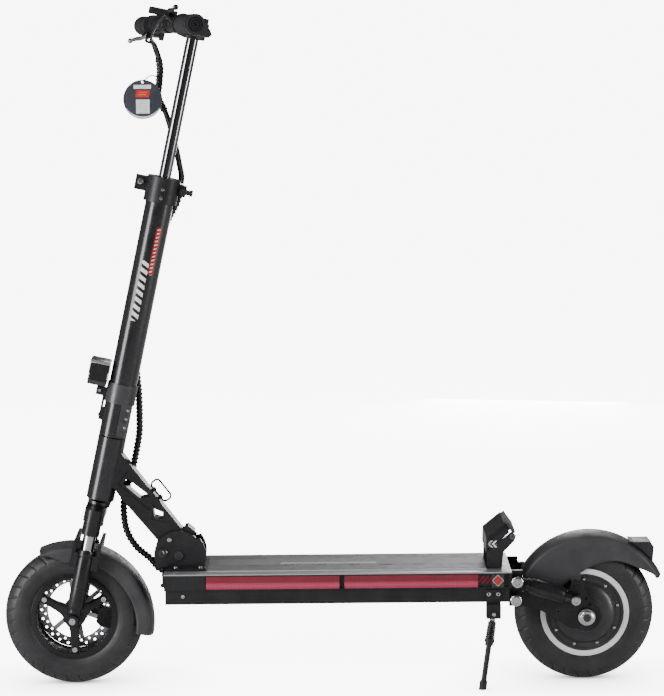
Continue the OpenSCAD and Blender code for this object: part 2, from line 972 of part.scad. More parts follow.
// ---------- handlebar ----------
module bar_head() {
    color(black)
    difference() {
        union() {
            on_stem(bar_s - 34)
                cylinder(h = 42, r = inner_r + 5);
            on_stem(bar_s - 12)
                rotate([0, 0, bar_turn])
                    translate([-bar_fwd, -10, 0])
                        cube([bar_fwd, 20, 18]);
            on_bar() {
                translate([0, -26, 0])
                    rotate([-90, 0, 0])
                        cylinder(h = 52, r = 15);
                both_sides()
                    for (x = [-14, 8.2])
                        translate([x, 0, 0]) {
                            translate([0, 20, -9.5])
                                cube([5.8, knuckle_y - 20, 19]);
                            translate([0, knuckle_y, 0])
                                rotate([0, 90, 0])
                                    cylinder(h = 5.8, r = 9.5);
                        }
            }
        }
        on_stem(bar_s - 40)
            cylinder(h = 42 + 2, r = inner_r);
        on_bar()
            both_sides()
                translate([-20, knuckle_y, 0])
                    rotate([0, 90, 0])
                        cylinder(h = 40, r = 3.5 + run);
    }
}

// one bar: tongue, pivot pin, collar and tube, drawn on the right side
module bar_half() {
    color(black)
    difference() {
        union() {
            translate([-7.9, knuckle_y, -9])
                cube([15.8, 15, 18]);
            translate([-7.9, knuckle_y, 0])
                rotate([0, 90, 0])
                    cylinder(h = 15.8, r = 9);
            translate([0, knuckle_y + 12.5, 0])
                rotate([-90, 0, 0])
                    cylinder(h = 18, r = 14);
            translate([0, knuckle_y + 20, 0])
                rotate([-90, 0, 0])
                    cylinder(h = bar_end - knuckle_y - 24, r = bar_r);
        }
        translate([0, knuckle_y + 34, 0])
            rotate([-90, 0, 0])
                cylinder(h = bar_end, r = bar_r - 2);
    }
    color(silver)
    translate([-15, knuckle_y, 0])
        rotate([0, 90, 0])
            cylinder(h = 30, r = 3.5);
}

module grip_half() {
    color(rubber)
    difference() {
        union() {
            translate([0, bar_end - 132, 0])
                rotate([-90, 0, 0])
                    cylinder(h = 132, r = grip_r);
            translate([0, bar_end - 132, 0])
                rotate([-90, 0, 0])
                    cylinder(h = 5, r = grip_r + 2.5);
            // palm rest
            translate([0, bar_end, 0])
                rotate([90, 0, 0])
                    linear_extrude(86)
                        polygon([[4, grip_r - 1], [27, -5], [31, -12], [27, -18], [10, -grip_r + 1]]);
        }
        translate([0, bar_end - 140, 0])
            rotate([-90, 0, 0])
                cylinder(h = 136.2, r = bar_r);
    }
}

module perch(reach) {
    difference() {
        union() {
            translate([0, 118, 0])
                rotate([-90, 0, 0])
                    cylinder(h = 22, r = bar_r + 4);
            rotate([0, reach, 0])
                translate([-32, 122, -7])
                    cube([24, 16, 14]);
        }
        rotate([0, reach, 0])
            translate([-34, 119, -3.2])
                cube([16.5, 24, 6.4]);
        rotate([0, reach, 0])
            translate([-25, 130, -20])
                cylinder(h = 40, r = 2.5 + run);
        translate([0, 110, 0])
            rotate([-90, 0, 0])
                cylinder(h = 40, r = bar_r + run);
    }
}

module brake_lever(reach) {
    color(silver)
    rotate([0, reach, 0]) {
        translate([0, 0, -3])
            linear_extrude(6)
                difference() {
                    union() {
                        translate([-25, 130])
                            circle(6);
                        polygon([[-30, 127], [-20, 127], [-24, 136], [-31, 160], [-33, 215],
                            [-39, 262], [-42, 262], [-38, 215], [-37, 158]]);
                    }
                    translate([-25, 130])
                        circle(2.5 + run);
                }
        translate([-40.5, 264, 0])
            sphere(5);
    }
}

module lever_pin(reach) {
    color(silver)
    rotate([0, reach, 0])
        translate([-25, 130, -7.5])
            cylinder(h = 15, r = 2.5);
}

module left_bar() {
    on_bar()
        mirror([0, 1, 0])
            bar_half();
}

module right_bar() {
    on_bar()
        bar_half();
}

module left_grip() {
    on_bar()
        mirror([0, 1, 0])
            grip_half();
}

module right_grip() {
    on_bar()
        grip_half();
}

module left_controls() {
    color(black)
    on_bar()
        mirror([0, 1, 0]) {
            perch(left_reach);
            // switch pod behind the bar
            difference() {
                union() {
                    translate([0, 84, 0])
                        rotate([-90, 0, 0])
                            cylinder(h = 28, r = bar_r + 4);
                    translate([8, 80, -8])
                        cube([44, 36, 28]);
                }
                translate([0, 70, 0])
                    rotate([-90, 0, 0])
                        cylinder(h = 60, r = bar_r + run);
                translate([46.5, 98, 7])
                    rotate([0, 90, 0])
                        cylinder(h = 10, r = 5 + run);
            }
        }
    on_bar()
        mirror([0, 1, 0])
            lever_pin(left_reach);
}

module horn_button() {
    color(silver)
    on_bar()
        translate([48.5, -98, 7])
            rotate([0, 90, 0])
                cylinder(h = 8, r = 5);
}

module left_brake_lever() {
    on_bar()
        mirror([0, 1, 0])
            brake_lever(left_reach);
}

module right_controls() {
    color(black)
    on_bar() {
        perch(right_reach);
        // display on its clamp
        difference() {
            union() {
                translate([0, 74, 0])
                    rotate([-90, 0, 0])
                        cylinder(h = 18, r = bar_r + 4);
                translate([-10, 72, 12])
                    cube([20, 22, 8]);
                translate([-24, 68, 18])
                    cube([48, 34, 12]);
            }
            translate([0, 60, 0])
                rotate([-90, 0, 0])
                    cylinder(h = 50, r = bar_r + run);
        }
    }
    on_bar()
        lever_pin(right_reach);
}

module right_brake_lever() {
    on_bar()
        brake_lever(right_reach);
}

module throttle_lever() {
    color(dark)
    on_bar()
        difference() {
            union() {
                translate([0, 98, 0])
                    rotate([-90, 0, 0])
                        cylinder(h = 16, r = bar_r + 4.5);
                translate([6, 99, -26])
                    cube([7, 17, 20]);
            }
            translate([0, 90, 0])
                rotate([-90, 0, 0])
                    cylinder(h = 30, r = bar_r + run);
        }
}

// ---------- rear end ----------
module swing_arm() {
    outline = concat(
        arc_pts(pivot, 10, 100, 255, 10),
        [pivot + [48, -24], pivot + [68, -38], rear_axle + [-30, -21]],
        arc_pts(rear_axle, 27, 240, 395, 14),
        [rear_axle + [9, 31], rear_axle + [-2, 46], shock_low + [15, 30], shock_low + [-4, 30],
        shock_low + [-12, 10], pivot + [45, 13]]);
    color(dark)
    difference() {
        both_sides()
            side_plate(outline, arm_y, arm_y + arm_t);
        y_rod(pivot, -80, 80, bolt_r + run);
        y_rod(rear_axle, -80, 80, motor_axle_r);
        both_sides()
            for (p = [[-52, 12], [-1, 33], [6, 22]])
                y_rod(rear_axle + p, arm_y - 1, arm_y + arm_t + 1, 3);
    }
    color(silver)
    both_sides() {
        y_rod(shock_low, arm_y + arm_t - 0.2, shock_y + 9, bolt_r);
        y_rod(shock_low, arm_y + arm_t, shock_y - 7.5, 8);
        y_screw(shock_low, shock_y + 8.4, 9, 4);
        y_screw(shock_low + [4, 24], arm_y + arm_t, 4.5, 3);
    }
}

module rear_mudguard() {
    a = rear_axle;
    skin = 2.4;
    color(dark) {
        difference() {
            translate([guard_c[0], 0, guard_c[1]])
                rotate([90, 0, 0])
                    rotate([0, 0, 27])
                        rotate_extrude(angle = 124, $fn = 140)
                            mudguard_shape(rear_guard_r, rear_half, 75, skin);
            side_plate([a + [-220, 56], a + [-36, 56], a + [-4, 80], a + [25, 94], a + [60, 97.5],
                a + [98, 84], a + [170, 52], a + [170, -260], a + [-220, -260]],
                -rear_half - 1, rear_half + 1);
        }
        // struts down to the swing arm
        both_sides() {
            side_plate([a + [-58, 66], a + [-38, 66], a + [-41, 37], a + [-53, 37]],
                rear_half - skin, rear_half);
            side_plate([a + [-30, 70], a + [-6, 84], a + [-9, 52], a + [-25, 52]],
                rear_half - skin, rear_half);
            y_rod(shock_low + [4, 24], rear_half - 1, arm_y, 6);
            y_rod(shock_low + [-26, 8], rear_half - 1, arm_y, 5);
        }
    }
}

module tail_light() {
    c = guard_c;
    color(black)
    difference() {
        side_plate([c + [70, 128], c + [78, 127], c + [108, 127], c + [115, 118], c + [113, 92],
            c + [92, 104]], -26, 26);
        y_rod(c, -40, 40, rear_guard_r + run);
        side_plate([c + [108, 120], c + [118, 124], c + [118, 96], c + [108, 102]], -22, 22);
    }
    color(red)
    side_plate([c + [108, 120], c + [112.5, 117], c + [112, 101], c + [108, 102]], -22, 22);
}

module motor_axle() {
    color(silver) {
        y_rod(rear_axle, -78, 78, motor_axle_r);
        both_sides() {
            y_rod(rear_axle, 45.3, arm_y, 11);
            y_rod(rear_axle, arm_y + arm_t, arm_y + arm_t + 2, 13);
            y_rod(rear_axle, arm_y + arm_t + 2, arm_y + arm_t + 11, 10);
        }
    }
    // windings inside the hub
    color([0.7, 0.4, 0.2])
    difference() {
        y_rod(rear_axle, -18, 18, seat_r - 21);
        for (i = [0:17])
            y_rod(rear_axle + (seat_r - 25) * [cos(i * 20), sin(i * 20)], -19, 19, 2.4);
    }
}

module motor_housing() {
    color(black)
    on_wheel(rear_axle)
        difference() {
            union() {
                rotate_extrude($fn = 120)
                    rim_profile();
                rotate_extrude($fn = 120)
                    polygon([[motor_axle_r + run, -45], [20, -45], [34, -42], [50, -36], [58, -29],
                        [seat_r - 8, -24], [seat_r - 3, -24], [seat_r - 3, 24], [seat_r - 8, 24],
                        [58, 29], [50, 36], [34, 42], [20, 45], [motor_axle_r + run, 45]]);
                for (i = [0:8])
                    rotate([0, 0, i * 40 + 12])
                        translate([61, 0, -28.5])
                            cylinder(h = 57, r = 2.6, $fn = 20);
            }
            rotate_extrude($fn = 96)
                polygon([[0, -36], [18, -36], [34, -33], [seat_r - 19.6, -22], [seat_r - 15, -19.5],
                    [seat_r - 15, 19.5], [seat_r - 19.6, 22], [34, 33], [18, 36], [0, 36]]);
            translate([0, 0, -60])
                cylinder(h = 120, r = motor_axle_r + run);
        }
}

module rim_rings() {
    color(white)
    on_wheel(rear_axle)
        for (y = [-flange_y - 6.6, flange_y + 4])
            translate([0, 0, y])
                difference() {
                    cylinder(h = 2.6, r = flange_r + 1, $fn = 120);
                    translate([0, 0, -1])
                        cylinder(h = 5, r = seat_r - 5, $fn = 120);
                }
}

module rear_tyre() {
    color(rubber)
    on_wheel(rear_axle)
        rotate_extrude($fn = 160)
            tyre_shape();
}

// the shock lies along its own x axis from the upper bolt
module on_shock() {
    both_sides()
        translate([shock_top[0], shock_y, shock_top[1]])
            rotate([0, shock_tilt, 0])
                children();
}

module shock_body() {
    color(dark)
    on_shock()
        difference() {
            union() {
                rotate([90, 0, 0])
                    translate([0, 0, -8])
                        cylinder(h = 16, r = 9);
                translate([0, -7, -9])
                    cube([26, 14, 18]);
                translate([17, 0, 0])
                    rotate([0, 90, 0])
                        cylinder(h = 9, r = 12);
                translate([25, 0, 0])
                    rotate([0, 90, 0])
                        cylinder(h = shock_len - 47, r = shock_r);
            }
            rotate([90, 0, 0])
                translate([0, 0, -12])
                    cylinder(h = 24, r = bolt_r + run);
            translate([34, 0, 0])
                rotate([0, 90, 0])
                    cylinder(h = shock_len, r = 9 + run);
        }
}

module shock_rod() {
    color(silver)
    on_shock()
        difference() {
            union() {
                translate([46, 0, 0])
                    rotate([0, 90, 0])
                        cylinder(h = shock_len - 55.2, r = 9);
                translate([shock_len, 7, 0])
                    rotate([90, 0, 0])
                        cylinder(h = 14, r = 9.5);
            }
            translate([shock_len, 12, 0])
                rotate([90, 0, 0])
                    cylinder(h = 24, r = bolt_r + 0.8);
        }
}

// ---------- stand, footrest, cap ----------
module footrest() {
    b = [deck_back, deck_top];
    color(black)
    difference() {
        union() {
            both_sides()
                side_plate([b + [-43, 0], b + [-16, 0], b + [-13, 30], b + [7, 51], b + [10, 60],
                    b + [2, 67], b + [-36, 37], b + [-43, 34]], 52, 58);
            side_plate([b + [-45, 30], b + [-42, 30], b + [-41, 54], b + [-10, 79.5], b + [-12, 82.5],
                b + [-44, 56.5]], -60, 60);
            both_sides()
                side_plate([b + [-44, 31], b + [-42, 55], b + [-11, 81], b + [-2, 66], b + [-34, 38]], 54, 56);
            both_sides()
                translate([b[0] - 43, 40, b[1]])
                    cube([27, 14, 4]);
        }
        both_sides()
            y_rod(b + [3, 59], 50, 60, 2.6);
    }
}

module footrest_pad() {
    b = [deck_back, deck_top];
    color(grey)
    side_plate([b + [-12, 82.5], b + [-6, 87], b + [9, 66], b + [5, 62], b + [-8, 80]], -50, 50);
    color(silver)
    both_sides()
        y_screw(b + [3, 59], 58, 5, 3);
    color(silver)
    both_sides()
        y_rod(b + [3, 59], 49, 58.2, 2.6);
}

module stand_bracket() {
    color(black)
    difference() {
        union() {
            translate([stand_x - 13, stand_y, stand_z + 13])
                cube([26, 4, 29]);
            translate([stand_x - 13, stand_y - 10, stand_z - 9])
                cube([26, 4, 26]);
            translate([stand_x - 13, stand_y - 10, stand_z + 13])
                cube([26, 14, 4]);
            translate([stand_x - 13, stand_y + 6, stand_z - 9])
                cube([26, 4, 26]);
            translate([stand_x - 13, stand_y, stand_z + 13])
                cube([26, 10, 4]);
        }
        y_rod([stand_x, stand_z], stand_y - 20, stand_y + 20, 4 + run);
    }
    color(silver)
    for (p = [[-7, 35], [7, 35], [2, 22]])
        y_screw([stand_x, stand_z] + p, stand_y, 3.2, 2.5);
}

module on_stand() {
    translate([stand_x, stand_y, stand_z])
        rotate([0, stand_lean, 0])
            children();
}

module kickstand() {
    leg = stand_z / cos(stand_lean);
    color(black)
    on_stand() {
        rotate([90, 0, 0])
            translate([0, 0, -5.7])
                cylinder(h = 11.4, r = 8);
        translate([0, 0, -23])
            cylinder(h = 6, r = 7.4);
        translate([0, 0, -54])
            cylinder(h = 7, r = 9);
        translate([0, 0, -60])
            cylinder(h = 7, r = 7.5);
    }
    color(dark)
    on_stand() {
        translate([0, 0, -leg + 12])
            cylinder(h = leg - 17, r = 5);
        rotate([90, 0, 0])
            translate([0, 0, -13])
                cylinder(h = 26, r = 4);
    }
    // foot, flat on the ground
    color(rubber)
    difference() {
        on_stand()
            translate([0, 0, -leg - 3])
                cylinder(h = 19, r = 7);
        translate([stand_x - 60, stand_y - 40, -20])
            cube([90, 80, 20]);
    }
}

module stand_spring() {
    color(silver)
    on_stand()
        for (i = [0:5])
            translate([0, 0, -44.5 + i * 3.7])
                rotate_extrude($fn = 32)
                    translate([6.7, 0])
                        circle(1.55, $fn = 16);
}

module charge_cap() {
    hinge = [deck_front - 2.4, deck_top - 3];
    color(rubber) {
        y_rod(hinge, -76, -52, 2);
        translate([deck_front - 3.4, -76, deck_top - 26])
            cube([3, 24, 23]);
        translate([deck_front - 0.8, -64, deck_top - 14])
            rotate([0, 90, 0])
                cylinder(h = 4, r = 6.4);
        translate([deck_front - 7, -68, deck_top - 27])
            cube([4, 8, 5]);
    }
}

// ---------- cables ----------
module cable_hose() {
    top = stem_top + clamp_h;
    path = smooth([
        stem_pt(30, 21, top - 8), stem_pt(30, 21, top - 40), stem_pt(17, 29, top - 90),
        stem_pt(9, 33, top - 160), stem_pt(8, 34, stem_s + 240), stem_pt(12, 33, stem_s + 150),
        stem_pt(31, 22, stem_s + 82), stem_pt(40, 25, stem_s + 42), stem_pt(46, 27, stem_s + 8),
        [fold_x - 81, 28, fold_z + 167], [fold_x - 90, 29, fold_z + 134], [fold_x - 100, 29, fold_z + 104],
        [fold_x - 102, 28, fold_z + 67], [fold_x - 96, 27, fold_z + 34], [fold_x - 79, 26, fold_z + 6],
        [fold_x - 56, 25, fold_z - 14], [fold_x - 38, hose_y, hose_z + 3], [deck_front + 2, hose_y, hose_z]], 4);
    color(black)
    sweep(path, hose_r, 10);
}

module upper_cables() {
    top = stem_top + clamp_h;
    bundle = [
        stem_pt(-66, 14, bar_s - 40), stem_pt(-55, 14, bar_s - 58), stem_pt(-47, 15, bar_s - 80),
        stem_pt(-43.5, 16, bar_s - 106), stem_pt(-40, 16, bar_s - 130), stem_pt(-22, 18, bar_s - 155),
        stem_pt(-6, 20, bar_s - 184), stem_pt(9, 21, bar_s - 214), stem_pt(20, 21, bar_s - 240),
        stem_pt(28, 21, top + 8), stem_pt(30, 21, top - 7)];
    offs = [[0, 0, 0], [3.4, 3.4, 0], [-3.4, 3.6, 0]];
    starts = [
        [bar_pt(-14.9, 121.4, -21.3), bar_pt(-18, 98, -28), bar_pt(-24, 58, -34)],
        [bar_pt(-21.6, -121.4, 14.5), bar_pt(-27, -100, 8), bar_pt(-30, -62, -8), bar_pt(-28, -22, -28)],
        [bar_pt(-10.8, 84, -14.3), bar_pt(-16, 60, -26), bar_pt(-20, 34, -34)]];
    color(black) {
        for (k = [0:2])
            sweep(smooth(concat(starts[k], [for (p = bundle) p + offs[k]]), 4), 2.4, 8);
        // cord that carries the tag
        sweep(smooth([[tag[0] + 28.5, 13.2, tag[1] + 36], [tag[0] + 16, 6, tag[1] + 42],
            [tag[0] + 5, -4, tag[1] + 36], [tag[0], tag_y + 2.3, tag[1] + 31],
            [tag[0], tag_y - 3.4, tag[1] + 31]], 4), 1.1, 8);
    }
}

module hang_tag() {
    color([0.2, 0.22, 0.26])
    difference() {
        y_rod(tag, tag_y - 1, tag_y + 1, tag_r);
        y_rod(tag + [0, 31], tag_y - 4, tag_y + 4, 2.2);
    }
}

// ---------- assembly ----------
deck_frame();
battery_tray();
grip_mat();
deck_screws();
power_pack();
side_lights();
hinge_block();
footrest();
footrest_pad();
pivot_bolts();
stand_bracket();
charge_cap();
kickstand();
stand_spring();
fold_latch();
folding_arm();
head_tube();
headset_rings();
carry_ring();
stem_tube();
stem_collar();
fork_crown();
stanchions();
height_clamp();
clamp_lever();
lamp_bracket();
headlight();
headlight_lens();
fork_lowers();
front_axle();
front_mudguard();
brake_caliper();
front_rim();
front_tyre();
brake_disc();
front_wheel_bolts();
inner_tube();
bar_head();
left_bar();
left_grip();
left_controls();
left_brake_lever();
horn_button();
right_bar();
right_grip();
right_controls();
right_brake_lever();
throttle_lever();
swing_arm();
rear_mudguard();
tail_light();
motor_axle();
motor_housing();
rim_rings();
rear_tyre();
shock_body();
shock_rod();
cable_hose();
upper_cables();
hang_tag();
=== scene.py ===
"""Looks of the folding electric kick scooter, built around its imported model.

Lengths are millimetres in the script and metres in the meshes; riding direction -X, left side -Y.
"""

import json
import math

import bpy
import numpy as np
from mathutils import Matrix, Vector


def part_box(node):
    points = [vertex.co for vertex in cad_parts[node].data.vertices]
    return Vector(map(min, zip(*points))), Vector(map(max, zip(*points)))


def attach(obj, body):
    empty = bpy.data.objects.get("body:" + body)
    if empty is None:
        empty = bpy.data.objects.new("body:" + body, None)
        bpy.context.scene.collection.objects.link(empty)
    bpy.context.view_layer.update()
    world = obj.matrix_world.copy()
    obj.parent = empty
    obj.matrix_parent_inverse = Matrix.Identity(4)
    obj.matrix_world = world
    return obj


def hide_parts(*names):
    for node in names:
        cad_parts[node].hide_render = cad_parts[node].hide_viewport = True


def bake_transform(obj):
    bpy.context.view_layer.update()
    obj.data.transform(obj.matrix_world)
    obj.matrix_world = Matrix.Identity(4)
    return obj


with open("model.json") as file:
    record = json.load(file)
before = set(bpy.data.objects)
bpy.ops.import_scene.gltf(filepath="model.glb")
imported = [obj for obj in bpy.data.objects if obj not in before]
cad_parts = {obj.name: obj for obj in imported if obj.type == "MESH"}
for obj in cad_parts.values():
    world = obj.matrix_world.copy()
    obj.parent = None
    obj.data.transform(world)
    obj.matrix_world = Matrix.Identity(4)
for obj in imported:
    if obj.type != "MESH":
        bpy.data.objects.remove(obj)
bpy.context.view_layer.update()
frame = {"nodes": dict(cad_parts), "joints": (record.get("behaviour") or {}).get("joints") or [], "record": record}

MM = 0.001
JOINTS = {j["name"]: j for j in frame["joints"]}
CENTRE = {n: (np.array(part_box(n)[0]) + np.array(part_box(n)[1])) / 2 / MM for n in frame["nodes"]}
SIZE = {n: (np.array(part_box(n)[1]) - np.array(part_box(n)[0])) / MM for n in frame["nodes"]}

# ---------- wheels and steering axis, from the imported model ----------
FRONT_AXLE = CENTRE["front_tyre"]
REAR_AXLE = CENTRE["rear_tyre"]
FRONT_HUB = (FRONT_AXLE[0], 0, FRONT_AXLE[2])
REAR_HUB = (REAR_AXLE[0], 0, REAR_AXLE[2])
WHEEL_R = SIZE["front_tyre"][2] / 2
TYRE_HALF = SIZE["front_tyre"][1] / 2
STEM_DIR = np.array(JOINTS["steer"]["axis"])
STEM_ACROSS = np.array([STEM_DIR[2], 0.0, -STEM_DIR[0]])
HEAD_BASE = np.array(JOINTS["steer"]["pos_m"]) / MM
STEM_FOOT = HEAD_BASE - STEM_DIR * HEAD_BASE[2] / STEM_DIR[2]
STEM_R = 25.25
SIDES = ((-1, "left"), (1, "right"))
DECK_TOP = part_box("deck_frame")[1][2] / MM
DECK_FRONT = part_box("deck_frame")[0][0] / MM


def on_stem(across, y, along):
    """Point at a distance along the steering axis from the ground, and across it to the rear."""
    across, y, along = np.broadcast_arrays(*[np.asarray(v, float) for v in (across, y, along)])
    base = STEM_FOOT + along[..., None] * STEM_DIR + across[..., None] * STEM_ACROSS
    base[..., 1] += y
    return base


# ---------- camera ----------
CAMERA_AT = (-0.0318, -5.1761, 1.2811)
CAMERA_YAW = 0.0065
CAMERA_PITCH = 0.1282
CAMERA_ROLL = -0.0076
CAMERA_LENS = 148.9


def add_camera():
    """Camera that looks along +Y, turned by yaw, pitched down and rolled about its own view line."""
    ahead = Vector((math.sin(CAMERA_YAW) * math.cos(CAMERA_PITCH),
                    math.cos(CAMERA_YAW) * math.cos(CAMERA_PITCH), -math.sin(CAMERA_PITCH)))
    right = Vector((math.cos(CAMERA_YAW), -math.sin(CAMERA_YAW), 0))
    up = right.cross(ahead)
    turn = math.cos(CAMERA_ROLL), math.sin(CAMERA_ROLL)
    rolled_right = right * turn[0] + up * turn[1]
    rolled_up = up * turn[0] - right * turn[1]
    data = bpy.data.cameras.new("camera")
    data.lens = CAMERA_LENS
    data.sensor_width = 36
    data.clip_end = 500
    camera = bpy.data.objects.new("camera", data)
    axes = Matrix((rolled_right, rolled_up, -ahead)).transposed()
    camera.matrix_world = Matrix.Translation(CAMERA_AT) @ axes.to_4x4()
    bpy.context.collection.objects.link(camera)
    bpy.context.scene.camera = camera


add_camera()


# ---------- shader maths ----------
class Val:
    """A shader value that Python's operators work on by adding Math nodes."""

    def __init__(self, shader, socket):
        self.shader = shader
        self.socket = socket

    def maths(self, operation, *values):
        return self.shader.node("ShaderNodeMath", {"operation": operation}, dict(enumerate(values)))

    def __add__(self, other):
        return self.maths("ADD", self, other)

    __radd__ = __add__

    def __sub__(self, other):
        return self.maths("SUBTRACT", self, other)

    def __rsub__(self, other):
        return self.maths("SUBTRACT", other, self)

    def __mul__(self, other):
        return self.maths("MULTIPLY", self, other)

    __rmul__ = __mul__

    def __gt__(self, other):
        return self.maths("GREATER_THAN", self, other)

    def __lt__(self, other):
        return self.maths("LESS_THAN", self, other)

    def __abs__(self):
        return self.maths("ABSOLUTE", self)

    def power(self, exponent):
        return self.maths("POWER", self, exponent)

    def wrap(self, low, high):
        return self.maths("WRAP", self, high, low)

    def within(self, low, high):
        """1 where the value is between two limits, else 0."""
        return (self > low) * (self < high)


class Nodes:
    """A node tree and the nodes that expressions add to it."""

    def __init__(self, tree):
        self.tree = tree

    def node(self, kind, settings=None, inputs=None, output=0):
        made = self.tree.nodes.new(kind)
        for key, value in (settings or {}).items():
            setattr(made, key, value)
        for key, value in (inputs or {}).items():
            self.put(made.inputs[key], value)
        return Val(self, made.outputs[output])

    def put(self, socket, value):
        if isinstance(value, Val):
            self.tree.links.new(value.socket, socket)
        else:
            socket.default_value = value


class Shader(Nodes):
    """A material with the surface sockets that its expressions feed."""

    def __init__(self, name, **sockets):
        self.material = bpy.data.materials.new(name)
        self.material.use_nodes = True
        super().__init__(self.material.node_tree)
        self.surface = self.tree.nodes["Principled BSDF"]
        self.feed(**sockets)

    def feed(self, **sockets):
        for key, value in sockets.items():
            if isinstance(value, tuple) and len(value) == 3:
                value = (*value, 1)
            self.put(self.surface.inputs[key.replace("_", " ")], value)

    def place(self):
        """Object coordinates."""
        return self.node("ShaderNodeTexCoord", output="Object")

    def axes(self, vector=None):
        """The three parts of a vector, in millimetres."""
        scaled = self.node("ShaderNodeVectorMath", {"operation": "SCALE"},
                           {0: vector or self.place(), "Scale": 1000.0})
        return [self.node("ShaderNodeSeparateXYZ", inputs={0: scaled}, output=i) for i in range(3)]

    def noise(self, scale, detail=3.0, stretch=None):
        """Noise of about `scale` bumps to the metre, drawn out along an axis by `stretch`."""
        vector = self.place()
        if stretch:
            vector = self.node("ShaderNodeMapping", inputs={0: vector, "Scale": stretch})
        return self.node("ShaderNodeTexNoise", inputs={"Vector": vector, "Scale": scale, "Detail": detail})

    def ramp(self, value, low, high):
        """0 below one value and 1 above another, straight between."""
        return self.node("ShaderNodeMapRange", inputs={0: value, 1: low, 2: high})

    def mix(self, factor, first, second):
        made = self.tree.nodes.new("ShaderNodeMix")
        made.data_type = "RGBA"
        for index, value in ((0, factor), (6, first), (7, second)):
            if isinstance(value, tuple) and len(value) == 3:
                value = (*value, 1)
            self.put(made.inputs[index], value)
        return Val(self, made.outputs[2])

    def bump(self, height, depth):
        """Normal from a height of 0 to 1 that is `depth` millimetres deep."""
        self.feed(Normal=self.node("ShaderNodeBump", inputs={
            "Height": height, "Distance": depth * MM, "Strength": 1.0}))


def coated(name, low, high, rough, grain=900.0, depth=0.03, **fixed):
    """Paint or moulded plastic: a cloudy shade between two colours over a fine grain."""
    s = Shader(name, **fixed)
    cloud = s.ramp(s.noise(26.0), 0.35, 0.65)
    speck = s.noise(grain, 2.0)
    s.feed(Base_Color=s.mix(cloud * 0.7 + speck * 0.3, low, high))
    s.feed(Roughness=rough[0] + (rough[1] - rough[0]) * s.ramp(s.noise(60.0, 5.0), 0.3, 0.7))
    s.bump(speck, depth)
    return s


def metal(name, colour, rough, stretch=(1.0, 1.0, 14.0), scale=160.0, **fixed):
    """Bare metal with fine drawn lines."""
    s = Shader(name, Metallic=1.0, **fixed)
    lines = s.noise(scale, 4.0, stretch)
    dark = tuple(0.72 * c for c in colour)
    s.feed(Base_Color=s.mix(s.ramp(lines, 0.3, 0.7), dark, colour))
    s.feed(Roughness=rough[0] + (rough[1] - rough[0]) * lines)
    s.bump(lines, 0.01)
    return s


FRAME_BLACK = coated("frame black powder coat", (0.0092, 0.0092, 0.0103), (0.0207, 0.0207, 0.023), (0.34, 0.46),
                     1400.0, 0.02, Specular_IOR_Level=0.35)
STEM_BLACK = coated("stem satin black", (0.008, 0.008, 0.01), (0.016, 0.016, 0.018), (0.22, 0.30), 1800.0, 0.008,
                    Coat_Weight=0.3, Coat_Roughness=0.15)
FORK_BLACK = coated("fork gloss black", (0.0066, 0.0066, 0.0077), (0.0154, 0.0154, 0.0176), (0.24, 0.34), 1500.0,
                    0.01, Specular_IOR_Level=0.4)
COLLAR_GREY = coated("collar anodised grey", (0.048, 0.048, 0.0512), (0.08, 0.08, 0.0848), (0.30, 0.4), 1500.0,
                     0.01, Metallic=0.4)
GUARD_PLASTIC = coated("mudguard grained plastic", (0.036, 0.036, 0.039), (0.058, 0.058, 0.062), (0.46, 0.58),
                       1100.0, 0.08, Specular_IOR_Level=0.45)
BLACK_PLASTIC = coated("black moulded plastic", (0.012, 0.012, 0.0144), (0.0264, 0.0264, 0.0288), (0.4, 0.54),
                       1200.0, 0.04, Specular_IOR_Level=0.4)
GLOSS_PLASTIC = coated("gloss black plastic", (0.008, 0.008, 0.009), (0.014, 0.014, 0.016), (0.12, 0.2), 1200.0,
                       0.01)
GRIP_RUBBER = coated("grip rubber", (0.0132, 0.0132, 0.0143), (0.0264, 0.0264, 0.0286), (0.5, 0.66), 1600.0, 0.05,
                     Specular_IOR_Level=0.35)
TYRE_RUBBER = coated("tyre rubber", (0.019, 0.019, 0.0205), (0.037, 0.037, 0.0395), (0.4, 0.54), 1000.0, 0.06,
                     Specular_IOR_Level=0.45)
CABLE_BLACK = coated("cable sheath", (0.0088, 0.0088, 0.0099), (0.0198, 0.0198, 0.022), (0.3, 0.42), 1500.0, 0.02)
MOTOR_GREY = coated("motor shell paint", (0.024, 0.024, 0.026), (0.04, 0.04, 0.043), (0.28, 0.38), 1400.0, 0.03)
RING_WHITE = coated("rim ring enamel", (0.86, 0.86, 0.87), (0.93, 0.93, 0.94), (0.3, 0.4), 1500.0, 0.01)
PACK_BLUE = coated("battery shrink film", (0.02, 0.09, 0.28), (0.03, 0.13, 0.38), (0.25, 0.4), 600.0, 0.05)
MAT_GREY = coated("footrest rubber", (0.05, 0.05, 0.052), (0.12, 0.12, 0.125), (0.6, 0.8), 500.0, 0.25)
CHROME = metal("polished tube steel", (0.62, 0.62, 0.64), (0.07, 0.13))
TUBE_DARK = metal("dark polished tube", (0.26, 0.26, 0.275), (0.06, 0.10))
BOLT_STEEL = metal("bright bolt steel", (0.74, 0.74, 0.76), (0.18, 0.3), (1, 1, 1), 500.0)
DARK_STEEL = metal("blackened steel", (0.10, 0.10, 0.105), (0.24, 0.36), (1, 1, 1), 500.0)
DISC_STEEL = metal("ground disc steel", (0.50, 0.50, 0.52), (0.25, 0.4), (1, 1, 1), 420.0)
LEVER_ALLOY = metal("cast lever alloy", (0.44, 0.44, 0.46), (0.26, 0.38), (1, 1, 1), 380.0)
LENS_CLEAR = coated("clear lamp lens", (0.86, 0.88, 0.90), (0.94, 0.95, 0.97), (0.05, 0.1), 500.0, 0.02,
                    Transmission_Weight=0.7)
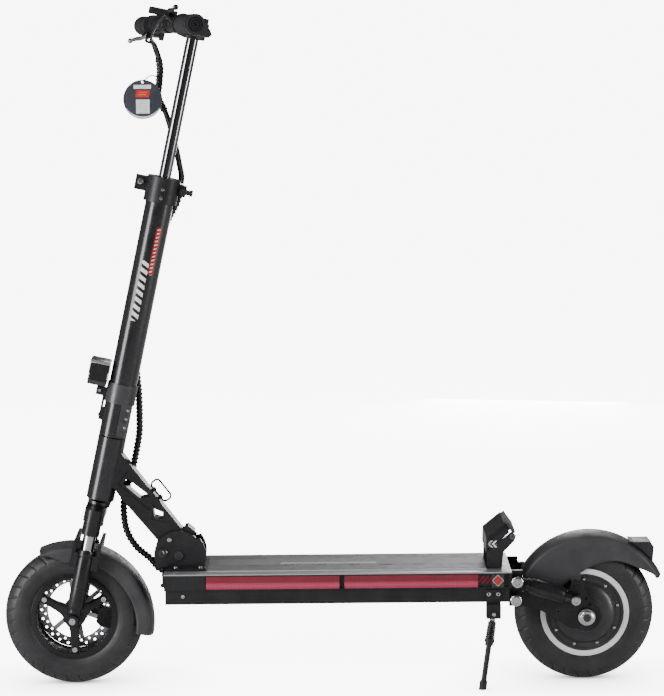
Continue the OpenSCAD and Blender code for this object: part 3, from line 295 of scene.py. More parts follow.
RED_LENS = coated("red lens", (0.16, 0.002, 0.010), (0.24, 0.004, 0.018), (0.1, 0.2), 400.0, 0.02, Coat_Weight=0.5)
TAG_CARD = coated("tag card", (0.03, 0.034, 0.046), (0.045, 0.05, 0.066), (0.35, 0.45), 900.0, 0.01)

SLOT_FINISH = {
    "frame_black": FRAME_BLACK, "fork_black": FORK_BLACK, "stem_paint": STEM_BLACK, "collar_grey": COLLAR_GREY,
    "mudguard_plastic": GUARD_PLASTIC, "black_plastic": BLACK_PLASTIC, "gloss_black_plastic": GLOSS_PLASTIC,
    "tube_silver": CHROME, "bolt_steel": BOLT_STEEL, "disc_steel": DISC_STEEL, "rim_black": FORK_BLACK,
    "ring_white": RING_WHITE, "tyre_rubber": TYRE_RUBBER, "grip_rubber": GRIP_RUBBER, "cable_black": CABLE_BLACK,
    "mat_grey": MAT_GREY, "light_red": RED_LENS, "lamp_clear": LENS_CLEAR, "pack_blue": PACK_BLUE,
    "lever_alloy": LEVER_ALLOY, "motor_grey": MOTOR_GREY, "tag_card": TAG_CARD}
for part in frame["record"]["subparts"]:
    node = frame["nodes"][part["node"]]
    for place in node.material_slots:
        place.material = SLOT_FINISH[part["material_slot"]].material


# ---------- printed and moulded patterns, and painted highlights ---
WHITE_INK = (0.85, 0.85, 0.87)
RED_INK = (0.42, 0.010, 0.012)


def paint(s, *layers):
    """Each layer is a mask of 0 to 1 and the colour that it lays over what is there."""
    colour = Val(s, s.surface.inputs["Base Color"].links[0].from_socket)
    for mask, ink in layers:
        colour = s.mix(mask, colour, ink)
    s.feed(Base_Color=colour)


def give(node, s):
    for place in frame["nodes"][node].material_slots:
        place.material = s.material


def stem_print(s):
    """Stem tube: slanted dashes up the left side, a red block with white bars beside their top end."""
    x, y, z = s.axes()
    along = (x - STEM_FOOT[0]) * STEM_DIR[0] + z * STEM_DIR[2]
    across = (x - STEM_FOOT[0]) * STEM_ACROSS[0] + z * STEM_ACROSS[2]
    near = y < 0
    dash = (along + across * 0.5).wrap(0, 13.5)
    white = near * along.within(684, 795) * across.within(-9, 4) * dash.within(2.0, 9.5)
    block = near * along.within(771, 858) * across.within(5, 14)
    bars = (along - across * 0.4).wrap(0, 7.0).within(2.2, 4.6) * across.within(7, 12)
    paint(s, (white, WHITE_INK), (block, RED_INK), (block * bars, WHITE_INK))


LAST_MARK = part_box("side_lights")[1][0] / MM - 11


def strip_print(s):
    """Light strips: deep red above, a paler line along the lower half, bright ends."""
    x, y, z = s.axes()
    low = s.ramp(z, 201.0, 199.0)
    line = s.ramp(abs(z - 194.5), 4.0, 1.0)
    cells = x.wrap(0, 8.0).within(0.4, 7.6)
    mark = x > LAST_MARK - 12
    diamond = abs(x - LAST_MARK) + abs(z - 200.5)
    paint(s, (low, (0.40, 0.022, 0.075)), (line * 0.35, (0.62, 0.10, 0.17)),
          ((1 - cells) * 0.15, (0.08, 0.0, 0.004)),
          (mark, (0.02, 0.02, 0.022)), (mark * (diamond < 10.9), (0.4, 0.4, 0.42)),
          (mark * (diamond < 9.4), RED_INK))


def mat_print_and_highlight(s):
    """Deck mat: lengthwise ribs, a painted highlight line near the left edge, a broad grey band and slanted bars.
    """
    x, y, z = s.axes()
    rib = y.wrap(0, 3.2)
    # painted highlight: a pale line along the near (left) edge, where the edge catches the light
    line = s.ramp(abs(y + 66), 3.5, 1.5)
    band = s.ramp(abs(y - 14), 25.0, 23.0)
    bars = (x + y * 1.2).wrap(0, 12.0).within(0, 6.0) * y.within(-4, 6) * x.within(-95, 80)
    paint(s, (band * 0.5, (0.20, 0.20, 0.21)), (line, (0.5, 0.5, 0.52)), (bars, WHITE_INK))
    s.bump(s.ramp(abs(rib - 1.6), 0.5, 1.1) * 0.7 + s.noise(900.0, 2.0) * 0.3, 0.5)


def tag_print(s):
    """Round tag: white bar, red mark, white label with grey lines, white crescent along the lower rim."""
    x, y, z = s.axes()
    tx, tz = [float(v) for v in CENTRE["hang_tag"][[0, 2]]]
    x, z = x - tx, z - tz
    near = y < float(CENTRE["hang_tag"][1])
    far_out = (x * x + z * z).power(0.5)
    low_out = (x * x + (z - 6) * (z - 6)).power(0.5)
    bar = z.within(19, 26) * x.within(-16, 15)
    mark = z.within(3.6, 16) * (x - z * 0.2).within(-14, 10)
    mark_lines = z.within(8, 9.5) * x.within(-8, 6) + z.within(12, 13) * x.within(-5, 8)
    label = z.within(-25, 0) * x.within(-12, 12)
    lines = label * z.wrap(0, 3.2).within(1.9, 2.7) * x.within(-9.5, 9.5) * (s.noise(700.0, 1.0) > 0.47)
    moon = (low_out > 36.5) * (z < -14) * (far_out < 33.6)
    paint(s, (near * bar, WHITE_INK), (near * mark, (0.62, 0.022, 0.012)), (near * mark_lines, (0.75, 0.18, 0.12)),
          (near * label, (0.86, 0.86, 0.87)), (near * lines, (0.36, 0.36, 0.38)), (near * moon, WHITE_INK))


def foot_print(s):
    """Footrest: two pale arrows on the left side plate."""
    x, y, z = s.axes()
    arrow = (x - abs(z - 261)).wrap(0, 8.0).within(0, 4.2)
    paint(s, ((y < -35) * arrow * x.within(281, 297) * z.within(255, 267), WHITE_INK))


def deck_print_and_highlight(s):
    """Deck frame: upper edges painted lighter grey with a bright line along them, both painted highlight; slanted
    red marks behind the light strips.
    """
    x, y, z = s.axes()
    # painted highlight: the upper edges are painted lighter grey where the edge chamfer catches the light
    edge = s.ramp(z, 213.5, 214.5) * s.ramp(abs(y), 56.0, 58.0)
    # painted highlight: a bright line painted along the top edge
    line = s.ramp(abs(z - (DECK_TOP - 1.2)), 1.5, 0.7) * s.ramp(abs(y), 60.0, 62.0)
    marks = (x - z * 0.8).wrap(0, 8.0).within(0, 3.6) * x.within(258, 291) * z.within(194, 208) * (abs(y) > 80)
    paint(s, (edge, (0.12, 0.12, 0.126)), (line * 0.8, (0.45, 0.45, 0.47)), (marks, (0.25, 0.004, 0.02)))


PRINT_AND_HIGHLIGHT = (
    (stem_print, "stem_tube", coated("stem satin black, printed", (0.008, 0.008, 0.01), (0.016, 0.016, 0.018),
                                     (0.22, 0.30), 1800.0, 0.008, Coat_Weight=0.3, Coat_Roughness=0.15)),
    (strip_print, "side_lights", coated("light strip red", (0.17, 0.002, 0.014), (0.22, 0.004, 0.02),
                                        (0.16, 0.24), 400.0, 0.02, Coat_Weight=0.5)),
    (mat_print_and_highlight, "grip_mat", coated("deck mat", (0.085, 0.085, 0.09), (0.13, 0.13, 0.136), (0.5, 0.64), 900.0,
                                   0.05)),
    (tag_print, "hang_tag", coated("tag card, printed", (0.03, 0.034, 0.046), (0.045, 0.05, 0.066), (0.35, 0.45),
                                   900.0, 0.01)),
    (foot_print, "footrest", coated("footrest black, printed", (0.0092, 0.0092, 0.0103), (0.0207, 0.0207, 0.023),
                                    (0.34, 0.46), 1400.0, 0.02, Specular_IOR_Level=0.35)),
    (deck_print_and_highlight, "deck_frame", coated("deck frame black, painted edge highlight", (0.012, 0.012, 0.013), (0.022, 0.022, 0.024),
                                      (0.34, 0.46), 1400.0, 0.02, Specular_IOR_Level=0.35)))
for draw, node_name, finish in PRINT_AND_HIGHLIGHT:
    draw(finish)
    give(node_name, finish)
for node_name, finish in (("headset_rings", DARK_STEEL), ("stand_spring", DARK_STEEL), ("shock_rod", DARK_STEEL),
                          ("left_brake_lever", GLOSS_PLASTIC), ("pivot_bolts", DARK_STEEL),
                          ("inner_tube", TUBE_DARK), ("motor_axle", DARK_STEEL)):
    give(node_name, finish)


# ---------- surfaces ----------
def outward(points, faces):
    """The faces, turned round where the closed shape's signed volume is negative."""
    corner = points[faces]
    volume = np.einsum("ij,ij->", corner[:, 0], np.cross(corner[:, 1], corner[:, 2]))
    if faces.shape[1] == 4:
        volume += np.einsum("ij,ij->", corner[:, 0], np.cross(corner[:, 2], corner[:, 3]))
    return faces if volume > 0 else faces[:, ::-1]


def piece(name, body, finish, points, faces, sharp=38.0, replaces=(), extra=()):
    """A mesh object at the origin from points in millimetres, riding on a body when one is given."""
    mesh = bpy.data.meshes.new(name)
    mesh.from_pydata((np.asarray(points) * MM).tolist(), [], [*np.asarray(faces).tolist(), *extra])
    mesh.polygons.foreach_set("use_smooth", np.ones(len(mesh.polygons), bool))
    mesh.set_sharp_from_angle(angle=math.radians(sharp))
    mesh.materials.append(finish.material)
    made = bpy.data.objects.new(name, mesh)
    bpy.context.collection.objects.link(made)
    if body:
        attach(made, body)
    if replaces:
        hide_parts(*replaces)
    return made


def grid_faces(rows, columns, wrap_rows=False, wrap_columns=True):
    """Four-sided faces between neighbouring points of a grid of points."""
    r = np.arange(rows if wrap_rows else rows - 1)[:, None]
    c = np.arange(columns if wrap_columns else columns - 1)[None, :]
    r2, c2 = (r + 1) % rows, (c + 1) % columns
    quads = np.stack([r * columns + c, r2 * columns + c, r2 * columns + c2, r * columns + c2], -1)
    return quads.reshape(-1, 4)


def skin(name, body, finish, slot, grid, wrap_rows=False, ends=True, sharp=38.0, replaces=()):
    """A closed skin over rows of points that each go once round; the first and last rows are filled."""
    rows, columns = grid.shape[:2]
    points = grid.reshape(-1, 3)
    faces = outward(points, grid_faces(rows, columns, wrap_rows))
    extra = ()
    if ends and not wrap_rows:
        forward = (faces == grid_faces(rows, columns, wrap_rows)).all()
        first = list(range(columns))
        last = [(rows - 1) * columns + c for c in range(columns)]
        extra = (first, last[::-1]) if not forward else (first[::-1], last)
    return piece(name, body, finish, points, faces, sharp, replaces, extra)


def lathe(name, body, finish, slot, centre, profile, steps=96, axis=(0, 1, 0), across=(1, 0, 0), **more):
    """A closed profile of (distance along the axis, radius) pairs turned once round an axis."""
    axis = np.array(axis, float)
    across = np.array(across, float)
    third = np.cross(axis, across)
    along, radius = np.array(profile, float).T
    turn = np.arange(steps) * 2 * math.pi / steps
    ring = np.cos(turn)[:, None] * across + np.sin(turn)[:, None] * third
    grid = np.asarray(centre) + along[:, None, None] * axis + radius[:, None, None] * ring[None]
    closed = profile[0][1] > 0.01 and profile[-1][1] > 0.01
    if closed:
        return skin(name, body, finish, slot, grid, wrap_rows=True, **more)
    return skin(name, body, finish, slot, grid, ends=False, **more)


def spline(points, steps):
    """Catmull-Rom curve through the points, with `steps` stretches between neighbours."""
    p = np.asarray(points, float)
    p = np.vstack([2 * p[0] - p[1], p, 2 * p[-1] - p[-2]])
    f = (np.arange(steps) / steps)[None, :, None]
    a, b, c, d = p[:-3, None], p[1:-2, None], p[2:-1, None], p[3:, None]
    curve = 0.5 * (2 * b + (c - a) * f + (2 * a - 5 * b + 4 * c - d) * f**2 + (3 * b - a - 3 * c + d) * f**3)
    return np.vstack([curve.reshape(-1, p.shape[1]), p[-2]])


def frames(path):
    """Unit directions across a path, carried along it without twist."""
    ahead = np.gradient(path, axis=0)
    ahead /= np.linalg.norm(ahead, axis=1, keepdims=True)
    side = np.cross(ahead[0], [0.0, 1.0, 0.0] if abs(ahead[0][1]) < 0.9 else [1.0, 0.0, 0.0])
    sides = []
    for line in ahead:
        side = side - line * side.dot(line)
        side = side / np.linalg.norm(side)
        sides.append(side)
    sides = np.array(sides)
    return sides, np.cross(ahead, sides)


def tube(name, body, finish, slot, path, radius, columns=12, **more):
    """A round skin along a path; the radius may be one number, one a row, or rows by columns."""
    path = np.asarray(path, float)
    first, second = frames(path)
    turn = np.arange(columns) * 2 * math.pi / columns
    radius = np.asarray(radius, float)
    if radius.ndim < 2:
        radius = np.broadcast_to(radius.reshape(-1, 1), (len(path), columns))
    ring = np.cos(turn)[None, :, None] * first[:, None] + np.sin(turn)[None, :, None] * second[:, None]
    return skin(name, body, finish, slot, path[:, None] + radius[..., None] * ring, **more)


def slab(name, body, finish, slot, outline, y0, y1, edge=1.0, **more):
    """A plate between two Y planes: its outline's edge is rounded over by moving each point inwards."""
    outline = np.asarray(outline, float)
    step = np.roll(outline, -1, 0) - np.roll(outline, 1, 0)
    inwards = np.stack([-step[:, 1], step[:, 0]], 1)
    inwards /= np.linalg.norm(inwards, axis=1, keepdims=True)
    area = (outline[:, 0] * np.roll(outline[:, 1], -1) - outline[:, 1] * np.roll(outline[:, 0], -1)).sum()
    inwards *= 1 if area > 0 else -1
    turn = np.linspace(0, math.pi / 2, 4)
    rows = [(y0 + edge * (1 - math.cos(t)), edge * (1 - math.sin(t))) for t in turn]
    rows += [(y1 - edge * (1 - math.cos(t)), edge * (1 - math.sin(t))) for t in turn[::-1]]
    grid = np.empty((len(rows), len(outline), 3))
    for row, (y, inset) in zip(grid, rows):
        row[:, [0, 2]] = outline + inset * inwards
        row[:, 1] = y
    return skin(name, body, finish, slot, grid, **more)


def smooth_step(value, low, high):
    part = np.clip((value - low) / (high - low), 0, 1)
    return part * part * (3 - 2 * part)


# ---------- tyres ----------
TYRE_STEPS = 720
TYRE_COLUMNS = 96
BEAD_R = 80.6
SLOT_PITCH = 11.25
GROOVE_DEPTH = 1.9


def add_tyre(name, body, axle, node):
    """Tyre: a rounded section carried round the axle, pressed in where the tread has grooves.

    The section's point at angle t lies at a power of cos t outwards and of sin t sideways. Two grooves
    run round at 7.5 mm each side of the middle, and slanted slots cross each shoulder.
    """
    middle = WHEEL_R - TYRE_HALF
    t = np.linspace(-math.pi, math.pi, TYRE_COLUMNS, endpoint=False)[None, :]
    a = (np.arange(TYRE_STEPS) * 2 * math.pi / TYRE_STEPS)[:, None]
    out = np.sign(np.cos(t)) * np.abs(np.cos(t)) ** 0.92
    side = np.sign(np.sin(t)) * np.abs(np.sin(t)) ** 0.9
    y = TYRE_HALF * side * (1 - 0.035 * smooth_step(-out, -0.2, 0.6))
    r = np.maximum(middle + TYRE_HALF * out, BEAD_R - 1.5)
    tread = smooth_step(out, 0.42, 0.5)
    groove = smooth_step(1.7 - np.abs(np.abs(y) - 7.5), 0, 0.7)
    slant = np.degrees(a) + np.abs(y) * 0.28 + 0.5 * SLOT_PITCH * (y > 0)
    slot = np.abs((slant + SLOT_PITCH / 2) % SLOT_PITCH - SLOT_PITCH / 2)
    shoulder = smooth_step(1.0 - slot, 0, 0.45) * smooth_step(np.abs(y), 10.5, 12) * smooth_step(out, 0.36, 0.5)
    press = GROOVE_DEPTH * np.maximum(groove * tread, shoulder)
    ridge = sum(h * np.exp(-((r - c) / w) ** 2) for c, w, h in ((84, 0.9, 0.7), (89, 0.7, 0.4), (108.5, 1.0, 0.6)))
    lift = np.where(np.abs(side) > 0.6, ridge - 0.8, 0.0)
    y = y + np.sign(side) * np.where(np.abs(side) > 0.6, np.minimum(lift, 0.0), 0.0)
    r = r - press * np.maximum(out, 0)
    y = y - np.sign(y) * press * np.abs(side) * 0.6
    r, y = np.broadcast_arrays(r, y)
    grid = np.stack([axle[0] + r * np.cos(a), y, axle[2] + r * np.sin(a)], -1)
    skin(name, body, TYRE_RUBBER, "tyre_rubber", grid, wrap_rows=True, sharp=60, replaces=(node,))


add_tyre("front_road_tyre", "front_wheel", FRONT_AXLE, "front_tyre")
add_tyre("rear_road_tyre", "rear_wheel", REAR_AXLE, "rear_tyre")


# ---------- front wheel ----------
ARM_ANGLES = (30, 150, 270)
RIM_IN = 71.4


def add_star():
    """Three arms: a rounded box section carried out from the hub, wider at the hub and where it meets the rim."""
    along = np.linspace(9, RIM_IN + 2.2, 30)[:, None]
    half = 7.6 + 8.5 * np.exp(-(along - 12) / 9.0) + 6 * np.exp((along - RIM_IN) / 4.0)
    t = np.arange(32)[None, :] * 2 * math.pi / 32
    side = np.sign(np.cos(t)) * np.abs(np.cos(t)) ** 0.45 * half
    y = -15.5 + 6.0 * np.sign(np.sin(t)) * np.abs(np.sin(t)) ** 0.4 * (1 - 0.12 * smooth_step(along, 20, 60))
    side, y, along = np.broadcast_arrays(side, y, along)
    for k, angle in enumerate(ARM_ANGLES):
        c, d = math.cos(math.radians(angle)), math.sin(math.radians(angle))
        grid = np.stack([FRONT_AXLE[0] + along * c - side * d, y, FRONT_AXLE[2] + along * d + side * c], -1)
        skin(f"front_wheel_arm_{k + 1}", "front_wheel", FORK_BLACK, "rim_black", grid, sharp=50)


def add_front_wheel():
    """Rim band with rolled edges, star of three arms and a stepped hub."""
    add_star()
    profile = [(-26, 69.5), (-26, 78.2), (-25.2, 80), (-23, 80), (-22, 78.5), (-21, 75.5), (-8, 75.3), (0, 73.6),
               (8, 75.3), (21, 75.5), (22, 78.5), (23, 80), (25.2, 80), (26, 78.2), (26, 69.5), (25, 68.4),
               (22.5, 69.4), (20, 71.2), (0, 71.4), (-20, 71.2), (-22.5, 69.4), (-25, 68.4)]
    lathe("front_rim_band", "front_wheel", FORK_BLACK, "rim_black", FRONT_HUB, profile, 160,
          replaces=("front_rim",))
    hub = [(-27.8, 6.2), (-27.8, 11), (-26.8, 12.6), (-24.5, 13.2), (-24, 19), (-22, 21), (-8, 21.5), (-4, 16),
           (18, 16), (23, 20.5), (25, 20.5), (25, 13), (27.8, 12.5), (27.8, 6.2)]
    lathe("front_hub_shell", "front_wheel", FORK_BLACK, "rim_black", FRONT_HUB, hub, 72)


add_front_wheel()


# ---------- mudguards ----------
def add_guard(name, node, centre, radius, half, start, end, skirt, lift, wall=2.2, rows=120, columns=44):
    """Mudguard shell: a rounded section carried round the wheel, with its own skirt depth at each angle.

    `skirt` and `lift` give, for a part of the way round from 0 to 1, how deep the sides hang and how far
    the crown stands off the circle. The inner face is the outer one moved in by the wall.
    """
    way = np.linspace(0, 1, rows)[:, None]
    angle = np.radians(start + (end - start) * way)
    t = np.linspace(-1, 1, columns)[None, :]
    bend = np.clip((np.abs(t) - 0.42) / 0.58, 0, 1)
    turn = np.clip(np.abs(t) / 0.55, 0, 1)
    depth = skirt(way)
    corner = 13.0

    def shell(inset):
        across = (half - inset) * np.sign(t) * np.sin(turn * math.pi / 2) ** 0.85
        down = inset + corner * (1 - np.cos(turn * math.pi / 2)) * 0.8 + (depth - corner * 0.8) * bend
        r = radius + lift(way) - down
        return np.stack(np.broadcast_arrays(centre[0] + r * np.cos(angle), across, centre[2] + r * np.sin(angle)),
                        -1)

    outer, inner = shell(0.0), shell(wall)
    grid = np.concatenate([outer, inner[:, ::-1]], 1)
    return skin(name, "fork_slider" if "front" in name else "swing", GUARD_PLASTIC, "mudguard_plastic", grid,
                replaces=(node,), sharp=50)


def rear_skirt(way):
    """Depth of the rear skirt: the lower edge runs level at the front, then climbs over the wheel to the tip."""
    angle = 27 + (151 - 27) * way
    edge = np.interp(angle, [27, 43, 63, 81, 101, 131], [139.5, 119.2, 106.9, 92.6, 78.9, 71.2])
    level = 53.5 / np.sin(np.radians(angle))
    return np.clip(145 - np.where(angle > 131, level, edge), 4, 80)


def front_skirt(way):
    """Depth of the front skirt: nearly even, drawn in to a beak at the front end."""
    return 6 + 23 * smooth_step(1 - way, 0.0, 0.16) + 3 * way


def add_guards():
    """Both mudguards, and the rear one's struts and posts on the swing arm."""
    front = FRONT_AXLE + [-3, 0, -15]
    add_guard("front_mudguard_shell", "front_mudguard", front, WHEEL_R + 23, 37.0, -8, 113, front_skirt,
              lambda way: -1.5 * (1 - way) ** 2)
    rear = REAR_AXLE + [11, 0, 2.5]
    add_guard("rear_mudguard_shell", "rear_mudguard", rear, WHEEL_R + 18, 37.0, 27, 151, rear_skirt,
              lambda way: 0 * way, rows=160, columns=52)
    base = REAR_AXLE[[0, 2]]
    for side, label in SIDES:
        for k, shape in enumerate(([(-58, 66), (-38, 66), (-41, 38), (-47, 35), (-53, 38)],
                                   [(-30, 74), (-8, 88), (-9, 57), (-17, 51), (-25, 55)])):
            y = sorted((side * 34.6, side * 37.6))
            slab(f"{label}_guard_strut_{k + 1}", "swing", GUARD_PLASTIC, "mudguard_plastic",
                 base + np.array(shape), y[0], y[1], 0.8)
            at = base + np.array([(-47, 42), (-17, 58)][k])
            lathe(f"{label}_guard_post_{k + 1}", "swing", FRAME_BLACK, "frame_black", (at[0], 0, at[1]),
                  [(side * 36, 0), (side * 36, 5), (side * 51, 5), (side * 52, 4), (side * 52, 0)], 32)


add_guards()


# ---------- bolt heads ----------
def bolt_heads(name, body, spots, towards, radius, height, finish=None):
    """Round heads with a rounded rim and a six-sided socket, one for each spot."""
    towards = np.array(towards, float)
    across = np.cross(towards, [0.3, 0.2, 1.0])
    across /= np.linalg.norm(across)
    third = np.cross(towards, across)
    profile = np.array([(0, radius), (height * 0.55, radius), (height * 0.9, radius * 0.88), (height, radius * 0.7),
                        (height, radius * 0.5), (height * 0.35, radius * 0.46), (height * 0.35, 0.001)])
    turn = np.arange(24) * math.pi / 12
    six = 1 / np.cos((turn + math.pi / 6) % (math.pi / 3) - math.pi / 6) * 0.93
    points = []
    for spot in spots:
        for row, (h, r) in enumerate(profile):
            reach = r * (six if row in (4, 5) else 1.0) * np.ones(24)
            ring = np.cos(turn)[:, None] * across + np.sin(turn)[:, None] * third
            points.append(np.asarray(spot) + h * towards + reach[:, None] * ring)
    single = grid_faces(len(profile), 24)
    block = np.vstack(points[:len(profile)]) - np.asarray(spots[0])
    single = single if face_sense(block, single, towards) else single[:, ::-1]
    per = len(profile) * 24
    faces = np.vstack([single + k * per for k in range(len(spots))])
    caps = [(np.arange(24) + k * per).tolist() for k in range(len(spots))]
    tops = [(np.arange(24) + (k + 1) * per - 24).tolist() for k in range(len(spots))]
    flip = (single == grid_faces(len(profile), 24)).all()
    extra = [c[::-1] if flip else c for c in caps] + [t if flip else t[::-1] for t in tops]
    return piece(name, body, finish or BOLT_STEEL, np.vstack(points), faces, 30, (), extra)


def face_sense(points, faces, towards):
    """True where the first side face of a head looks away from its own middle."""
    corner = points[faces[0]]
    normal = np.cross(corner[1] - corner[0], corner[2] - corner[0])
    middle = corner.mean(0)
    middle -= middle.dot(towards) * towards
    return normal.dot(middle) > 0


def on_face(node, x, z, side=-1, sunk=0.2):
    """Point where a line along Y through (x, z) first meets a node's surface, from the left or the right."""
    hit = frame["nodes"][node].ray_cast(Vector((x * MM, side * 1.0, z * MM)), Vector((0, -side, 0)))
    return (x, hit[1][1] / MM - side * sunk, z)


def in_wheel(axle, radius, angles, y):
    turn = np.radians(np.asarray(angles, float))
    return np.stack([axle[0] + radius * np.cos(turn), np.full(turn.shape, float(y)),
                     axle[2] + radius * np.sin(turn)], 1)


bolt_heads("spoke_bolts", "front_wheel", in_wheel(FRONT_AXLE, 62.5, ARM_ANGLES, -21.3), (0, -1, 0), 4.6, 3)
bolt_heads("disc_bolts", "front_wheel", in_wheel(FRONT_AXLE, 18.5, range(0, 360, 60), 35), (0, 1, 0), 2.6, 2)


# ---------- motor wheel ----------
def add_motor():
    """Motor shell: a rim band, a recessed ring with bolts, then a stepped dome up to the axle, on both sides."""
    dome = [(45, 7.06), (45, 15), (44.4, 19), (43, 24), (41.6, 30), (41, 33.5), (39.4, 35), (37.6, 42),
            (35.2, 48.5),
            (32.6, 52.8), (30.6, 54.6), (29.2, 55.2), (27.8, 56.4), (26.4, 57), (26.2, 65.5), (27.4, 66.6),
            (27.6, 69)]
    rim = [(27.6, 74.6), (26.2, 76.8), (26.2, 79.2), (25, 80), (22.6, 80), (22, 78), (21.4, 75.5), (8, 75.3)]
    half = dome + rim
    profile = half + [(-y, r) for y, r in half[::-1]]
    lathe("motor_shell", "rear_wheel", MOTOR_GREY, "motor_grey", REAR_HUB, profile, 180,
          replaces=("motor_housing",), sharp=28)
    for side, label in SIDES:
        bolt_heads(f"{label}_motor_bolts", "rear_wheel", in_wheel(REAR_AXLE, 61.2, np.arange(9) * 40 + 12,
                                                                  side * 26), (0, side, 0), 2.9, 2.6)
        ring = [(side * 27.0, 71.2), (side * 29.2, 71.4), (side * 29.6, 73), (side * 29.6, 79.4), (side * 29, 80.8),
                (side * 27.2, 81.0), (side * 26.4, 80.6), (side * 26.4, 71.6)]
        lathe(f"{label}_rim_ring", "rear_wheel", RING_WHITE, "ring_white", REAR_HUB, ring, 160,
              **({"replaces": ("rim_rings",)} if side < 0 else {}))


add_motor()


# ---------- hose and cables ----------
STEM_S = 467.3  # along the stem: its foot, its top, the top of the height clamp and the bar
STEM_TOP = 915.3
CLAMP_TOP = 947.3
BAR_S = 1215.3
BAR_END = 296.0
HOSE_PITCH = 7.5
CABLE_R = 2.3
FOLD = np.array(JOINTS["fold"]["pos_m"]) / MM
BAR_X = np.array(JOINTS["left_bar_fold"]["axis"])
BAR_LEFT = np.array(JOINTS["left_bar_fold"]["pos_m"]) / MM
BAR_RIGHT = np.array(JOINTS["right_bar_fold"]["pos_m"]) / MM
BAR_MID = (BAR_LEFT + BAR_RIGHT) / 2
BAR_Y = (BAR_RIGHT - BAR_LEFT) / np.linalg.norm(BAR_RIGHT - BAR_LEFT)
BAR_Z = np.cross(BAR_X, BAR_Y)


def on_bar(x, y, z):
    """Point or points in the handlebar's own frame: x to the rear, y along it to the right, z up."""
    return BAR_MID + x * BAR_X + np.multiply.outer(y, BAR_Y) + np.multiply.outer(z, BAR_Z)


def add_hose():
    """Spiral-wrapped hose from the stem clamp to the deck: its radius rises and falls along a helix."""
    top = CLAMP_TOP
    upper = [on_stem(30, 21, top - 8), on_stem(30, 21, top - 40), on_stem(17, 29, top - 90),
             on_stem(9, 33, top - 160), on_stem(8, 34, STEM_S + 240), on_stem(12, 33, STEM_S + 150),
             on_stem(31, 22, STEM_S + 82), on_stem(40, 25, STEM_S + 42), on_stem(46, 27, STEM_S + 8)]
    lower = [np.array([FOLD[0] + x, y, FOLD[2] + z]) for x, y, z in (
        (-81, 28, 167), (-90, 29, 134), (-100, 29, 104), (-102, 28, 67), (-96, 27, 34), (-79, 26, 6),
        (-56, 25, -14))]
    lower += [np.array([FOLD[0] - 38, 24, DECK_TOP - 11]), np.array([DECK_FRONT + 2, 24, DECK_TOP - 14])]
    path = spline(upper + lower, 60)
    step = np.r_[0, np.cumsum(np.linalg.norm(np.diff(path, axis=0), axis=1))]
    even = np.linspace(0, step[-1], 1100)
    path = np.stack([np.interp(even, step, path[:, k]) for k in range(3)], 1)
    turn = np.arange(16) * 2 * math.pi / 16
    wave = np.cos(even[:, None] * 2 * math.pi / HOSE_PITCH + turn[None, :])
    radius = 6.1 + 0.8 * np.clip(wave * 1.6, -1, 1)
    cut = int(np.argmin(np.linalg.norm(path - upper[-1], axis=1)))
    high = tube("hose_upper", None, CABLE_BLACK, "cable_black", path[:cut + 1], radius[:cut + 1], 16,
                replaces=("cable_hose",))
    low = tube("hose_lower", None, CABLE_BLACK, "cable_black", path[cut:], radius[cut:], 16)
    join = upper[-1]
    tuple(join * MM)
    tuple(upper[4] * MM)
    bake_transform(high)
    tuple(join * MM)
    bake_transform(low)


add_hose()


# ---------- fork, axles and shocks ----------
LEG_TOP = 261.5  # along the stem, top of the fork's lower legs
LEG_FOOT = 148.0
LEG_Y = 52.0


def add_fork():
    """Leg sleeves turned about the legs' own line: a seal lip at the top, a barrel and a step in at the foot."""
    foot = on_stem(-3, 0, LEG_FOOT)
    long = LEG_TOP - LEG_FOOT
    for side, label in SIDES:
        profile = [(0, 0.01), (0, 11.5), (2, 13.6), (8, 14.8), (30, 15.3), (long - 16, 15.3), (long - 14, 14.6),
                   (long - 12, 14.6), (long - 11, 15.8), (long - 2, 15.8), (long, 14.8), (long, 0.01)]
        lathe(f"{label}_fork_sleeve", "fork_slider", FORK_BLACK, "fork_black", foot + [0, side * LEG_Y, 0],
              profile, 64, axis=STEM_DIR, across=STEM_ACROSS)
        y = side * (abs(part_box("front_axle")[0][1]) / MM - 0.6)
        cap = [(-side * 7, 0.01), (-side * 7, 11), (0, 11), (side * 0.6, 10.4), (side * 0.6, 7.8),
               (-side * 0.6, 7.2), (-side * 0.6, 0.01)]
        lathe(f"{label}_axle_cap", "fork_slider", FORK_BLACK, "fork_black", (FRONT_AXLE[0], y, FRONT_AXLE[2]), cap,
              48)
        bolt_heads(f"{label}_axle_end", "fork_slider", [(FRONT_AXLE[0], y - side * 0.7, FRONT_AXLE[2])],
                   (0, side, 0), 4.6, 1.6)


SHOCK_EYE = np.array([438.4, 0, 161.0])
SHOCK_Y = 75.5


